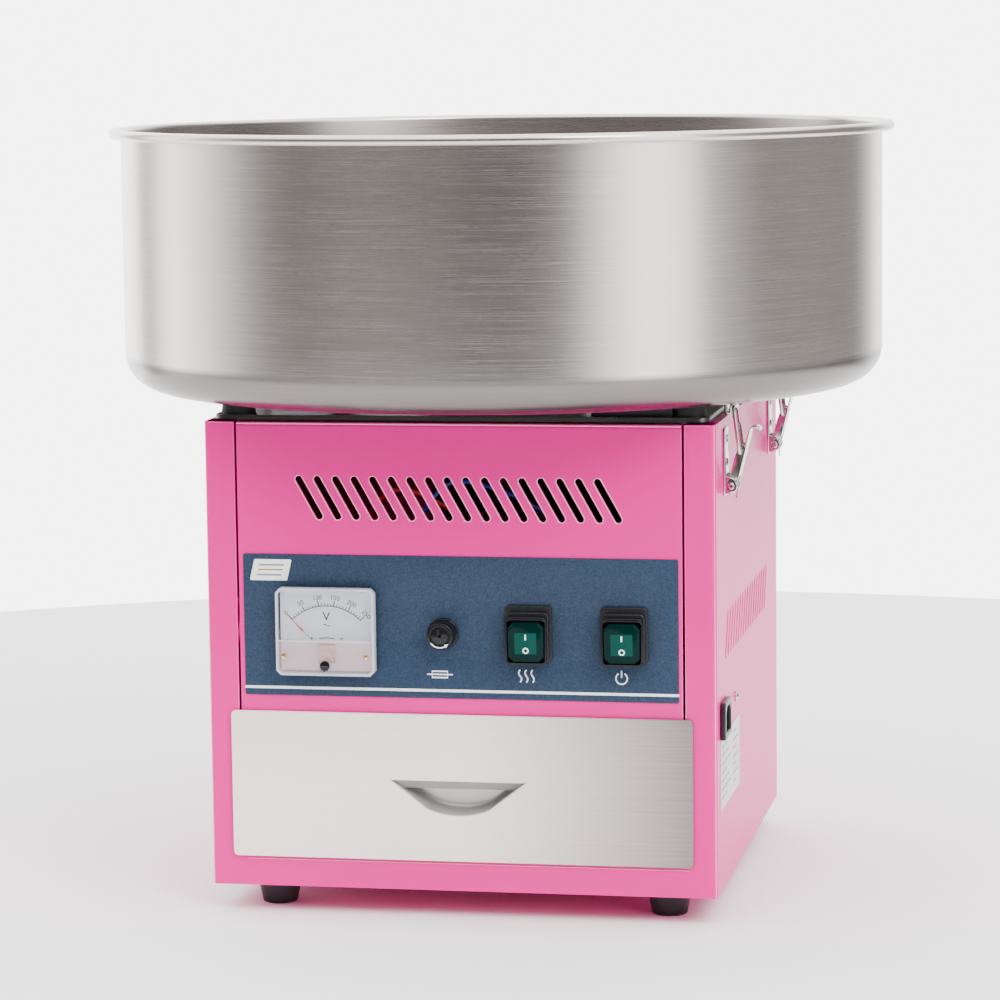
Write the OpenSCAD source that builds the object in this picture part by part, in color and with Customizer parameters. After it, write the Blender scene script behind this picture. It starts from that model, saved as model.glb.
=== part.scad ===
// Table-top cotton candy machine.
// Origin: on the floor under the bowl's axis. +Z up, -Y towards the user, +X to the user's right.

/* [Cabinet] */
// Width of the square cabinet
body_w = 328; // [326:1:330]
// Height of the cabinet without its feet
body_h = 300; // [298:1:302]
// Sheet thickness of the cabinet
sheet = 1.5; // [1.2:0.1:1.8]
// Outer bend radius of the cabinet's corners
bend_r = 3; // [2:0.5:4]
// Width of each front post
post_w = 19.75; // [18:0.25:20]
// Height of the rail under the drawer
rail_h = 19; // [17:1:20]
// Height of the rubber feet
foot_h = 18; // [16:1:20]
// Distance of each foot from the centre planes
foot_at = 128.5; // [120:0.5:132]

/* [Vents] */
// Number of slots in each row
vent_n = 17; // [9:1:17]
// Distance between neighbouring slots
vent_pitch = 12; // [10:0.5:12.5]
// Width of a slot
vent_w = 4.5; // [3:0.5:5]
// Sideways lean of a slot over its height
vent_lean = 13; // [8:1:14]

/* [Bowl] */
// Outer radius of the bowl's wall
bowl_r = 252; // [240:1:252]
// Outer radius of the rolled rim
rim_r = 260; // [259:1:262]
// Height of the bowl, floor to rim
bowl_h = 171; // [150:1:180]
// Outer radius of the bowl's bottom corner
bowl_corner = 24; // [20:1:26]
// Radius of the hole round the spinning head
bowl_hole = 104; // [96:2:120]
// Height of the rubber bumpers and tray under the bowl
bowl_gap = 12; // [11:0.5:14]

/* [Spinning head] */
// Outer radius of the head
head_r = 72; // [60:1:74]
// Height of the head's lower face above the bowl's floor
head_lift = 22; // [20:1:30]
// Radius of the filling hole
fill_r = 26; // [20:1:30]

/* [Drawer] */
// Width of the drawer's front plate
drawer_w = 298.5; // [296:0.5:304]
// Height of the drawer's front plate
drawer_h = 95; // [94:0.1:97]
// Length of the drawer box
drawer_len = 290; // [240:5:295]
// Width of the pull's straight top edge
pull_w = 87; // [60:1:100]
// Depth of the pull's curved lower edge below its top edge
pull_sag = 22; // [15:1:26]

/* [Controls] */
// Height of the controls' centre line above the floor
controls_z = 185; // [184:1:188]
// Sideways place of the voltmeter
meter_x = -85; // [-92:1:-84]
// Sideways place of the fuse holder
fuse_x = -10; // [-14:0.1:-8]
// Sideways place of the heat switch
heat_x = 45; // [42:1:46]
// Sideways place of the power switch
power_x = 106; // [103:1:107]
// Tilt of a rocker from its middle position
rocker_tilt = 6; // [4:1:8]

/* [Latches] */
// Distance of each right-hand latch from the middle of its side; the left-hand one is in the middle
latch_y = 118; // [112:1:120]
// Lean of the lever away from the side panel at rest
lever_lean = 14; // [10:1:16]

/* [Hidden] */
$fn = 48;
fine = 96;
eps = 0.5;

body_lo = foot_h;
body_hi = body_lo + body_h;
half = body_w / 2;
inner = half - sheet;
front_y = -half;
post_x = half - post_w;
gap = 1.5;
shelf_z = body_lo + 118;
shelf_t = 1.2;
tray_w = 318;
tray_t = 1.2;
tray_rim = 4;
tray_top = body_hi + tray_t;
bowl_z = body_hi + bowl_gap;
bowl_t = 1.2;
rim_z = bowl_z + bowl_h;
rim_bead = 3;

drawer_z = body_lo + 19.5;
drawer_top = drawer_z + drawer_h;
pull_x = -1.5;
pull_top = 89.4;
pull_r = (pow(pull_w / 2, 2) + pow(pull_sag, 2)) / (2 * pull_sag);
plate_y = front_y - 2.5;

label_t = 0.6;
label_y = front_y - label_t;
label_x = 0.3;
label_w = 280;
label_z = 142.6;
label_h = 91;

pivot_z = controls_z - 14.4;
needle_len = 31;
needle_rest = 45;

rocker_r = 13.3;
rocker_y = label_y - 7;
rocker_z = controls_z - 3.7;
rocker_w = 23;

inlet_y = -133;
inlet_z = 128;
inlet_w = 31;
inlet_h = 24;
earth_y = -70;
earth_z = 131;

motor_lo = shelf_z + 14;
motor_hi = motor_lo + 86;
motor_r = 42;
shaft_r = 5;
shaft_top = bowl_z + 40;
head_z = bowl_z + head_lift;
band_h = 30;

lever_pivot = [169, 275.5];
bail_at = 22;
bail_wire = 1.25;
bail_half = 9.7;
bail_bar = [170.6, 325.6];

pink = [0.93, 0.25, 0.55];
steel = [0.78, 0.77, 0.75];
zinc = [0.8, 0.8, 0.78];
black = [0.07, 0.07, 0.08];
rubber = [0.1, 0.1, 0.1];
slate = [0.2, 0.27, 0.36];
clear_tint = [0.9, 0.93, 0.95, 0.4];
green = [0.02, 0.35, 0.25];
brass = [0.8, 0.62, 0.3];
ceramic = [0.92, 0.9, 0.84];

// ---------- shared shapes ----------

// Rounded rectangle about the origin, with true arcs at its corners
module rounded(w, d, r) {
    square([w - 2 * r, d], center = true);
    square([w, d - 2 * r], center = true);
    for (sx = [-1, 1], sy = [-1, 1])
        translate([sx * (w / 2 - r), sy * (d / 2 - r)]) circle(r);
}

// Round-ended slot from the origin to a point; its sides meet the round ends just inside them
module slot(to, w) {
    side_w = w - 0.04;
    circle(w / 2);
    translate(to) circle(w / 2);
    rotate(atan2(to[1], to[0])) translate([0, -side_w / 2]) square([norm(to), side_w]);
}

// A row of leaning slots, starting at the origin
module vent_row(n, pitch, w, lean, drop) {
    for (i = [0 : n - 1])
        translate([i * pitch, 0]) slot([lean, -drop], w);
}

// Extrude a drawing of X and Z towards the back, from a given Y
module from_front(y, depth) {
    translate([0, y + depth, 0]) rotate([90, 0, 0]) linear_extrude(depth) children();
}

// Extrude a drawing of Y and Z along +X, from a given X
module from_side(x, depth) {
    translate([x, 0, 0]) rotate([90, 0, 90]) linear_extrude(depth) children();
}

module tube(r_out, r_in, h) {
    difference() {
        cylinder(r = r_out, h = h, $fn = fine);
        translate([0, 0, -eps]) cylinder(r = r_in, h = h + 2 * eps, $fn = fine);
    }
}

// Round rod between two points
module rod(a, b, r) {
    d = b - a;
    translate(a)
        rotate([0, acos(d[2] / norm(d)), atan2(d[1], d[0])])
            cylinder(r = r, h = norm(d), $fn = 24);
}

// Pan-head screw: head out along +Z from the origin, shank below it
module pan_screw(head_r, head_h, shank_r, shank) {
    difference() {
        cylinder(r1 = head_r, r2 = head_r * 0.75, h = head_h);
        for (a = [0, 90])
            rotate(a) translate([-head_r * 0.5, -0.5, head_h * 0.45]) cube([head_r, 1, head_h]);
    }
    translate([0, 0, -shank]) cylinder(r = shank_r, h = shank);
}

// Copies on both sides of the X = 0 plane
module both_sides() {
    children();
    mirror([1, 0, 0]) children();
}

module four_corners(at) {
    for (sx = [-1, 1], sy = [-1, 1]) translate([sx * at, sy * at, 0]) children();
}

// ---------- cabinet ----------

side_vent_z = 192;
side_vent_drop = 26;
side_vent_y = -107;
flange = 14;

module side_vents() {
    from_side(half - 10, 20)
        translate([side_vent_y, side_vent_z])
            vent_row(vent_n, vent_pitch + 0.9, vent_w, -vent_lean, side_vent_drop);
}

module body_shell() color(pink) {
    difference() {
        translate([0, 0, body_lo]) linear_extrude(body_h) difference() {
            rounded(body_w, body_w, bend_r);
            rounded(body_w - 2 * sheet, body_w - 2 * sheet, bend_r - sheet + 0.1);
        }
        translate([-post_x, front_y - eps, body_lo + rail_h]) cube([2 * post_x, 20, body_h]);
        translate([-half + flange, half - 20, body_lo - eps]) cube([body_w - 2 * flange, 40, body_h + 1]);
        both_sides() side_vents();
        from_side(half - 10, 20)
            translate([inlet_y, inlet_z]) square([inlet_w - 6, inlet_h - 4], center = true);
        translate([half - 10, earth_y, earth_z]) rotate([0, 90, 0]) cylinder(r = 2.1, h = 20);
    }
    both_sides()
        translate([inner - flange, -inner + 18, body_hi - sheet]) cube([flange, 2 * inner - 36, sheet]);
}

vent_x = -102.4;
vent_top = 281.6;
vent_drop = 23.4;
panel_lo = drawer_top - 1;
fold = 16;
fold_r = 3;

// Front panel's profile in Y and Z: upright, rounded top fold, top and bottom flanges
module panel_profile() {
    translate([front_y, panel_lo]) square([sheet, body_hi - fold_r - panel_lo]);
    translate([front_y + fold_r, body_hi - sheet]) square([fold, sheet]);
    translate([front_y + sheet, panel_lo]) square([fold, sheet]);
    translate([front_y + fold_r, body_hi - fold_r]) intersection() {
        difference() {
            circle(fold_r);
            circle(fold_r - sheet);
        }
        translate([-fold_r, 0]) square([fold_r, fold_r]);
    }
}

module front_panel() color(pink) difference() {
    from_side(-post_x + gap, 2 * (post_x - gap)) panel_profile();
    from_front(front_y - eps, 3)
        translate([vent_x, vent_top]) vent_row(vent_n, vent_pitch, vent_w, vent_lean, vent_drop);
    from_front(front_y - eps, 3) control_holes();
}

module control_holes() {
    translate([meter_x, controls_z]) circle(26.2, $fn = fine);
    translate([fuse_x, controls_z - 0.7]) circle(6.3);
    for (x = [heat_x, power_x]) translate([x, controls_z - 2]) square([26, 30], center = true);
}

module back_panel() color(pink) difference() {
    translate([-inner + 4, inner - 1.3, body_lo + 4]) cube([2 * inner - 8, 1.2, body_h - 8]);
    from_front(inner - 5, 10) {
        translate([-70, 250]) vent_row(12, vent_pitch, vent_w, 0, 30);
        translate([-70, 190]) vent_row(12, vent_pitch, vent_w, 0, 30);
    }
    for (x = back_screw_x, z = back_screw_z)
        translate([x, inner, z]) rotate([90, 0, 0]) cylinder(r = 1.6, h = 5, center = true);
}

back_screw_x = [-140, 140];
back_screw_z = [40, 168, 296];

module base_plate() color(pink) difference() {
    union() {
        translate([0, -1.8, body_lo]) linear_extrude(1.2) rounded(2 * inner - 0.4, 2 * inner - 4, 3);
        both_sides()
            translate([-inner + 0.2, -inner + 10, body_lo]) cube([1.2, 2 * inner - 20, 12]);
    }
    four_corners(foot_at) translate([0, 0, body_lo - 5]) cylinder(r = 3.1, h = 10);
}

module divider_shelf() color(steel) difference() {
    translate([-inner + 0.3, -inner + 19, shelf_z]) cube([2 * inner - 0.6, 2 * inner - 24, shelf_t]);
    translate([half - 24, inlet_y - 18, shelf_z - 1]) cube([30, 38, 4]);
    for (x = [-1, 1], y = [-1, 1])
        translate([x * mount_x, y * mount_y, shelf_z - 1]) cylinder(r = 2.2, h = 4);
}

collar_r = 56;
collar_h = 22;

module top_tray() color(steel) difference() {
    union() {
        translate([0, 0, body_hi]) linear_extrude(tray_t) rounded(tray_w, tray_w, 8);
        translate([0, 0, body_hi]) linear_extrude(tray_rim) difference() {
            rounded(tray_w, tray_w, 8);
            rounded(tray_w - 2.4, tray_w - 2.4, 6.8);
        }
        translate([0, 0, body_hi]) cylinder(r = collar_r, h = collar_h, $fn = fine);
    }
    translate([0, 0, body_hi - 1]) cylinder(r = collar_r - 1.2, h = collar_h + 2, $fn = fine);
}

bumper_at = 145.5;

module bowl_bumpers() color(rubber) {
    four_corners(bumper_at) translate([0, 0, tray_top]) difference() {
        cylinder(r1 = 11.8, r2 = 10.2, h = bowl_z - tray_top);
        translate([0, 0, 6]) cylinder(r = 4.5, h = 10);
        translate([0, 0, -1]) cylinder(r = 2, h = 10);
    }
    strip_x = 84;
    translate([strip_x, -bumper_at - 9, tray_top]) cube([50, 7, bowl_z - tray_top - 0.4]);
}

module feet() color(rubber)
    four_corners(foot_at) difference() {
        cylinder(r1 = 11.2, r2 = 14.6, h = foot_h);
        translate([0, 0, -1]) cylinder(r = 5.6, h = 9);
        cylinder(r = 3.1, h = foot_h + 1);
    }

module case_screws() color(zinc) {
    four_corners(foot_at) translate([0, 0, 8]) rotate([180, 0, 0]) pan_screw(5, 3, 3, 15);
    for (x = back_screw_x, z = back_screw_z)
        translate([x, inner - 0.1, z]) rotate([-90, 0, 0]) pan_screw(3.2, 1.55, 1.5, 7);
    translate([half, earth_y, earth_z]) rotate([0, 90, 0]) pan_screw(3.65, 2.2, 2, 9);
}

// ---------- control strip ----------

module control_label() color(slate) from_front(label_y, label_t) difference() {
    translate([label_x, label_z + label_h / 2]) square([label_w, label_h], center = true);
    control_holes();
}

meter_w = 64;
meter_h = 56;
meter_d = 9.6;
chamfer = 3;

// Meter outline in X and Z with chamfered corners
module meter_outline(w, h, c) {
    polygon([
        [-w / 2 + c, -h / 2], [w / 2 - c, -h / 2], [w / 2, -h / 2 + c], [w / 2, h / 2 - c],
        [w / 2 - c, h / 2], [-w / 2 + c, h / 2], [-w / 2, h / 2 - c], [-w / 2, -h / 2 + c]
    ]);
}

module at_meter() translate([meter_x, 0, controls_z]) children();

module meter_case() color(black) at_meter() {
    from_front(label_y - 1.6, 1.6) difference() {
        meter_outline(meter_w, meter_h, chamfer);
        square([40, 20], center = true);
    }
    translate([0, label_y, 0]) rotate([-90, 0, 0]) tube(26, 24.5, 30);
    translate([0, label_y + 30, 0]) rotate([-90, 0, 0]) cylinder(r = 26, h = 1.5, $fn = fine);
    for (x = [-12, 12]) translate([x, label_y + 31.5, 0]) rotate([-90, 0, 0]) cylinder(r = 2.5, h = 9);
}

dial_y = label_y - 3.2;

module meter_dial() color(ceramic) at_meter() from_front(dial_y, 0.8) difference() {
    square([meter_w - 6, meter_h - 6], center = true);
    translate([0, pivot_z - controls_z]) square([11, 12], center = true);
}

module meter_coil() color(brass) translate([meter_x, 0, pivot_z]) {
    from_front(dial_y - 1.4, 3) difference() {
        square([10, 11], center = true);
        square([6, 6], center = true);
    }
    for (z = [-4.3 : 1.4 : 4.1])
        translate([-3.5, dial_y - 1.9, z]) cube([7, 1.2, 0.6]);
}

module meter_cover() color(clear_tint) at_meter() difference() {
    from_front(label_y - meter_d, meter_d - 1.6) meter_outline(meter_w, meter_h, chamfer);
    from_front(label_y - meter_d + 1.4, meter_d)
        meter_outline(meter_w - 3, meter_h - 3, chamfer);
    translate([0, 0, pivot_z - 7.1 - controls_z])
        rotate([90, 0, 0]) cylinder(r = 2.6, h = 200);
}

module meter_needle() color("crimson") translate([meter_x, dial_y - 2.6, pivot_z])
    rotate([0, -needle_rest, 0]) {
        rotate([-90, 0, 0]) cylinder(r = 2.2, h = 0.6);
        translate([-0.45, 0, 0]) cube([0.9, 0.5, needle_len]);
        translate([-1, 0, -6]) cube([2, 0.5, 6]);
    }

module meter_zero_screw() color(black)
    translate([meter_x, label_y - meter_d, pivot_z - 7.1]) rotate([90, 0, 0]) {
        difference() {
            translate([0, 0, 0.15]) cylinder(r1 = 3.3, r2 = 2.7, h = 1.6);
            translate([-3.5, -0.4, 1]) cube([7, 0.8, 2]);
        }
        translate([0, 0, -1.7]) cylinder(r = 2.5, h = 2);
    }

fuse_z = controls_z - 0.7;
module at_fuse() translate([fuse_x, label_y, fuse_z]) rotate([90, 0, 0]) children();

module fuse_holder() color(black) at_fuse() {
    tube(10, 6.9, 2);
    translate([0, 0, -36]) tube(6, 5.3, 37.9);
    tube(7, 5.3, 1.9);
    translate([0, 0, -38]) cylinder(r = 6, h = 2);
    translate([0, 0, -6]) difference() {
        cylinder(r = 10, h = 3.5, $fn = 6);
        translate([0, 0, -1]) cylinder(r = 6.05, h = 6);
    }
}

module fuse_carrier() color(black) at_fuse() translate([0, 0, -12]) difference() {
    cylinder(r = 5.1, h = 19);
    translate([0, 0, -1]) cylinder(r = 2.9, h = 13);
}

module fuse_cartridge() color(clear_tint) at_fuse() translate([0, 0, -20.2]) {
    tube(2.5, 1.8, 20);
    for (z = [0.1, 15]) translate([0, 0, z]) tube(2.8, 2.52, 4.8);
}

module fuse_cap() color(black) at_fuse() difference() {
    translate([0, 0, 2.4]) cylinder(r1 = 9, r2 = 8.4, h = 9.2);
    translate([0, 0, 2]) cylinder(r = 5.2, h = 5.3);
    translate([0, 0, 11]) tube(5.9, 5.3, 2);
    for (a = [20, 110]) rotate(a) translate([-3.6, -0.9, 9.4]) cube([7.2, 1.8, 4]);
}

bezel_w = 30.4;
bezel_h = 36.5;
collar_out = 11.2;

module switch_body(x) color(black) difference() {
    union() {
        translate([x, 0, controls_z]) from_front(label_y - 2.6, 2.6) rounded(bezel_w, bezel_h, 3);
        translate([x, 0, controls_z - 2.6]) from_front(label_y - collar_out, collar_out)
            rounded(bezel_w - 4, bezel_h - 6, 3);
        translate([x, 0, controls_z - 2]) from_front(label_y, 26)
            square([25.6, 29.6], center = true);
        for (dx = [-8, 0, 8])
            translate([x + dx - 0.4, label_y + 26, controls_z - 5]) cube([0.8, 9, 6.3]);
    }
    translate([x - rocker_w / 2 - 0.35, label_y - 20, rocker_z - rocker_r - 0.35])
        cube([rocker_w + 0.7, 28, 2 * rocker_r + 0.7]);
    translate([x, rocker_y, rocker_z]) rotate([0, 90, 0])
        cylinder(r = 1.06, h = bezel_w - 5.5, center = true);
}

module rocker(x) color(green)
    translate([x, rocker_y, rocker_z]) rotate([rocker_tilt, 0, 0]) {
        difference() {
            intersection() {
                rotate([0, 90, 0]) cylinder(r = rocker_r, h = rocker_w, center = true, $fn = fine);
                translate([-rocker_w / 2, -5, -rocker_r]) cube([rocker_w, 11, 2 * rocker_r]);
                from_front(-6, 14) meter_outline(rocker_w, 2 * rocker_r, 3.5);
            }
            translate([-7, -5.6, -7]) cube([14, 1, 14]);
        }
        rotate([0, 90, 0]) cylinder(r = 1, h = rocker_w + 1.6, center = true);
    }

// ---------- mains inlet and wiring ----------

module inlet_outline(w, h, c) {
    polygon([[-w / 2, -h / 2], [w / 2, -h / 2], [w / 2, h / 2 - c], [w / 2 - c, h / 2],
             [-w / 2 + c, h / 2], [-w / 2, h / 2 - c]]);
}

inlet_depth = 18;

module inlet_housing() color(black) translate([0, inlet_y, inlet_z]) difference() {
    union() {
        from_side(half, 3.6) rounded(inlet_w, inlet_h, 2);
        from_side(half - inlet_depth, inlet_depth) square([inlet_w - 6.4, inlet_h - 4.4], center = true);
    }
    from_side(half - inlet_depth + 2, 30) inlet_outline(inlet_w - 9, inlet_h - 7.5, 4);
}

module inlet_pins() color(zinc)
    for (y = [-7, 0, 7])
        translate([half - inlet_depth + 2, inlet_y + y - 1, inlet_z - 2 + (y == 0 ? 2 : 0)])
            cube([15, 2, 4]);

block_at = [-120, -40, shelf_z + shelf_t];

module terminal_block() color(ceramic) translate(block_at) difference() {
    translate([-9, -28, 0]) cube([18, 56, 16]);
    for (y = [-21 : 14 : 21]) {
        translate([0, y, 5]) cylinder(r = 2.6, h = 20);
        translate([-12, y, 7]) rotate([0, 90, 0]) cylinder(r = 2, h = 7);
    }
}

// Point on the smooth curve between p1 and p2
function curve_point(p0, p1, p2, p3, t) =
    0.5 * (2 * p1 + (p2 - p0) * t + (2 * p0 - 5 * p1 + 4 * p2 - p3) * t * t
        + (3 * p1 - p0 - 3 * p2 + p3) * t * t * t);

// A smooth curve through the route's points, with k steps between neighbours
function smooth(route, k) = [
    for (i = [0 : len(route) - 2], j = [0 : k - 1])
        curve_point(route[max(i - 1, 0)], route[i], route[i + 1],
                    route[min(i + 2, len(route) - 1)], j / k),
    route[len(route) - 1]
];

// Ring of points round p, square to the direction d
function ring(p, d, r, n) =
    let (side = cross(d, [0, 1, 0]), u = side / norm(side), w = cross(u, d) / norm(d))
    [for (i = [0 : n - 1]) p + r * (cos(i * 360 / n) * u + sin(i * 360 / n) * w)];

// A wire along a smooth curve through a list of points
module wire(route, r) {
    n = 8;
    path = smooth(route, 3);
    last = len(path) - 1;
    rings = [for (i = [0 : last]) ring(path[i], path[min(i + 1, last)] - path[max(i - 1, 0)], r, n)];
    polyhedron(
        points = [for (q = rings) each q],
        faces = [
            [for (i = [0 : n - 1]) n - 1 - i],
            for (k = [0 : last - 1], i = [0 : n - 1])
                [k * n + i, k * n + (i + 1) % n, (k + 1) * n + (i + 1) % n, (k + 1) * n + i],
            [for (i = [0 : n - 1]) last * n + i]
        ]
    );
}

wire_r = 1.4;
wire_start_y = label_y + 37;
terminal_x = block_at[0] + 12;

red_route = [
    [heat_x, wire_start_y, controls_z - 2], [30, -120, 215], [-10, -146, 262], [-40, -149, 274],
    [-58, -140, 262], [-84, -100, 220], [-96, -54, 190], [terminal_x, -54, shelf_z + 20]
];
blue_route = [
    [power_x, wire_start_y, controls_z - 2], [86, -120, 228], [40, -142, 266], [-4, -149, 280],
    [-26, -150, 258], [-62, -112, 212], [-88, -44, 184], [terminal_x, -41, shelf_z + 20]
];

module wire_red() color("red") wire(red_route, wire_r);
module wire_blue() color("royalblue") wire(blue_route, wire_r);

// ---------- drive ----------

mount_x = 48;
mount_y = 24;
bearing_r = 11;
bearing_h = 7;
bracket_z = shelf_z + shelf_t + 5;

module motor_mounts() color(rubber)
    for (x = [-1, 1], y = [-1, 1])
        translate([x * mount_x, y * mount_y, shelf_z + shelf_t]) tube(7, 2.1, 5);

module motor_bracket() color(steel) {
    difference() {
        translate([-58, -34, bracket_z]) cube([116, 68, 2]);
        translate([0, 0, bracket_z - 1]) cylinder(r = 20, h = 4);
        for (x = [-1, 1], y = [-1, 1])
            translate([x * mount_x, y * mount_y, bracket_z - 1]) cylinder(r = 2.2, h = 4);
    }
    both_sides() translate([motor_r + 0.1, -16, bracket_z + 2]) cube([2, 32, 50]);
}

module motor_housing() color(zinc) difference() {
    union() {
        translate([0, 0, motor_lo]) cylinder(r = motor_r, h = motor_hi - motor_lo, $fn = fine);
        translate([0, 0, motor_lo - 6]) cylinder(r = bearing_r + 4, h = 6);
        translate([0, 0, motor_hi]) cylinder(r = bearing_r + 4, h = 6);
    }
    translate([0, 0, motor_lo + 4]) cylinder(r = motor_r - 8, h = motor_hi - motor_lo - 8, $fn = fine);
    for (z = [motor_lo - 4, motor_hi - 3]) translate([0, 0, z]) cylinder(r = bearing_r, h = bearing_h);
    translate([0, 0, motor_lo - 10]) cylinder(r = shaft_r + 1.5, h = 200);
    for (a = [0 : 30 : 330])
        rotate(a) translate([20, -2, motor_lo - 1]) cube([10, 4, motor_hi - motor_lo + 2]);
}

module motor_bearings() color(steel)
    for (z = [motor_lo - 4, motor_hi - 3])
        translate([0, 0, z]) tube(bearing_r, shaft_r + 0.06, bearing_h);

module motor_rotor() color(steel) {
    translate([0, 0, motor_lo - 5]) cylinder(r = shaft_r, h = shaft_top - motor_lo + 5);
    translate([0, 0, motor_lo + 12]) tube(motor_r - 12, shaft_r, motor_hi - motor_lo - 24);
}

fan_z = motor_hi + 10;

module cooling_fan() color(black) {
    translate([0, 0, fan_z]) tube(10, shaft_r, 10);
    for (a = [0 : 45 : 315])
        rotate(a) translate([9.6, 0, fan_z + 5]) rotate([28, 0, 0]) translate([0, -6, -0.6])
            cube([30, 12, 1.2]);
}

ring_z = motor_hi + 28;

module slip_rings() color(brass) {
    translate([0, 0, ring_z]) tube(13, shaft_r, 26);
    for (z = [4, 16]) translate([0, 0, ring_z + z]) tube(16, 13, 6);
}

module brush_holder() color(black) {
    difference() {
        translate([20, -9, ring_z]) cube([20, 18, 26]);
        for (z = [2.6, 14.6]) translate([15, -4.2, ring_z + z]) cube([23, 8.4, 8.8]);
    }
    translate([40, -9, ring_z]) cube([2, 18, body_hi - ring_z]);
    translate([41, -9, body_hi - 2]) cube([29, 18, 2]);
}

module carbon_brushes() color([0.2, 0.2, 0.2])
    for (z = [3, 15]) translate([16.3, -4, ring_z + z]) cube([16, 8, 8]);

module capacitor() color(steel) translate([100, 30, shelf_z + shelf_t + 17]) rotate([-90, 0, 0]) {
    cylinder(r = 17, h = 66, $fn = fine);
    for (x = [-6, 6]) translate([x, 0, -6]) cylinder(r = 1.5, h = 6);
}

// ---------- spinning head ----------

post_ring = head_r - 6.8;
cap_z = head_z + 4 + band_h;

module head_base() color(steel) rotate_extrude($fn = fine) {
    translate([shaft_r, head_z - 8]) square([9, 16]);
    translate([shaft_r, head_z]) square([head_r - shaft_r, 2.5]);
    translate([head_r - 1.5, head_z]) square([1.5, 6]);
}

// Ring whose radius swings in and out, as a corrugated ribbon does
function zigzag(n, r, amp) = [for (i = [0 : 2 * n - 1])
    let (a = i * 180 / n, q = r + (i % 2 == 0 ? amp : -amp)) [q * cos(a), q * sin(a)]];

module heater_ribbon() color(brass) translate([0, 0, head_z + 7]) linear_extrude(band_h - 10) difference() {
    polygon(zigzag(44, head_r - 17, 2.4));
    polygon(zigzag(44, head_r - 17.8, 2.4));
}

module mesh_band() color(steel) translate([0, 0, head_z + 2.5]) difference() {
    tube(head_r - 2, head_r - 2.9, band_h + 1.5);
    for (a = [0 : 7.5 : 352.5])
        rotate(a) translate([head_r - 6, -1.1, 5]) cube([8, 2.2, band_h - 8]);
}

module head_cap() color(steel) rotate_extrude($fn = fine)
    polygon([
        [fill_r, cap_z - 6], [fill_r + 1.4, cap_z - 6], [fill_r + 1.4, cap_z + 8.5], [head_r - 11.4, cap_z],
        [head_r - 1.5, cap_z], [head_r - 1.5, cap_z - 4], [head_r, cap_z - 4], [head_r, cap_z + 1.5],
        [head_r - 11, cap_z + 1.5], [fill_r + 1.2, cap_z + 10.2], [fill_r, cap_z + 9]
    ]);

screw_count = 4;

module head_screws() color(zinc)
    for (i = [0 : screw_count - 1]) rotate(45 + i * 360 / screw_count)
        translate([post_ring, 0, 0]) {
            translate([0, 0, head_z + 2.5]) cylinder(r = 1.8, h = band_h + 1.5);
            translate([0, 0, cap_z + 1.5]) cylinder(r = 3.4, h = 3.2, $fn = 6);
            translate([0, 0, cap_z + 4.7]) sphere(2.4);
            translate([0, 0, head_z - 2.6]) cylinder(r = 3.2, h = 2.6);
        }

// ---------- drawer ----------

box_half = 140;
box_lo = drawer_z + 4.5;
box_hi = box_lo + 83;
box_t = 1;
box_front = front_y + 4;

module drawer_box() color(steel) difference() {
    union() {
        translate([-box_half, box_front, box_lo]) cube([2 * box_half, drawer_len, box_hi - box_lo]);
        translate([-box_half - 2.5, box_front + 6, box_hi - box_t])
            cube([2 * box_half + 5, drawer_len - 6, box_t]);
    }
    translate([-box_half + box_t, box_front + box_t, box_lo + box_t])
        cube([2 * (box_half - box_t), drawer_len - 2 * box_t, 100]);
    pull_pocket(3, 40);
}

// Outline of the pull: a circle's segment under a straight top edge
module pull_segment(grow) {
    translate([pull_x, pull_top - pull_sag + pull_r]) intersection() {
        circle(pull_r + grow, $fn = fine);
        translate([-200, -400 - pull_r + pull_sag + grow]) square([400, 400]);
    }
}

module pull_pocket(grow, depth) {
    from_front(plate_y - 5, depth) pull_segment(grow);
}

module drawer_front() color(steel) difference() {
    union() {
        translate([0, 0, drawer_z + drawer_h / 2])
            from_front(plate_y, 1.5) rounded(drawer_w, drawer_h, 3);
        translate([-box_half, plate_y + 1.5, box_lo]) cube([2 * box_half, 5, 60]);
    }
    pull_pocket(0, 20);
}

pull_deep = 20;

module drawer_pull() color(steel) difference() {
    from_front(plate_y + 1.6, pull_deep) pull_segment(-0.2);
    from_front(plate_y - 1, pull_deep + 1.2) pull_segment(-1.4);
}

module drawer_runners() color(zinc) both_sides() {
    translate([120, -145, body_lo + 1.2]) cube([1.5, 290, box_lo - 0.3 - body_lo - 1.2]);
    translate([120, -145, box_lo - 1.8]) cube([22.8, 290, 1.5]);
    translate([141.3, -145, box_lo - 0.3]) cube([1.5, 290, 14]);
}

// ---------- bowl ----------

// Height of the turned-up lip round the hole in the bowl's floor
hole_lip = 5;

module bowl_floor() color(steel) rotate_extrude($fn = fine) {
    translate([bowl_hole, bowl_z]) square([bowl_r - bowl_corner - bowl_hole, bowl_t]);
    translate([bowl_hole, bowl_z]) square([bowl_t, hole_lip]);
}

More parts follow.
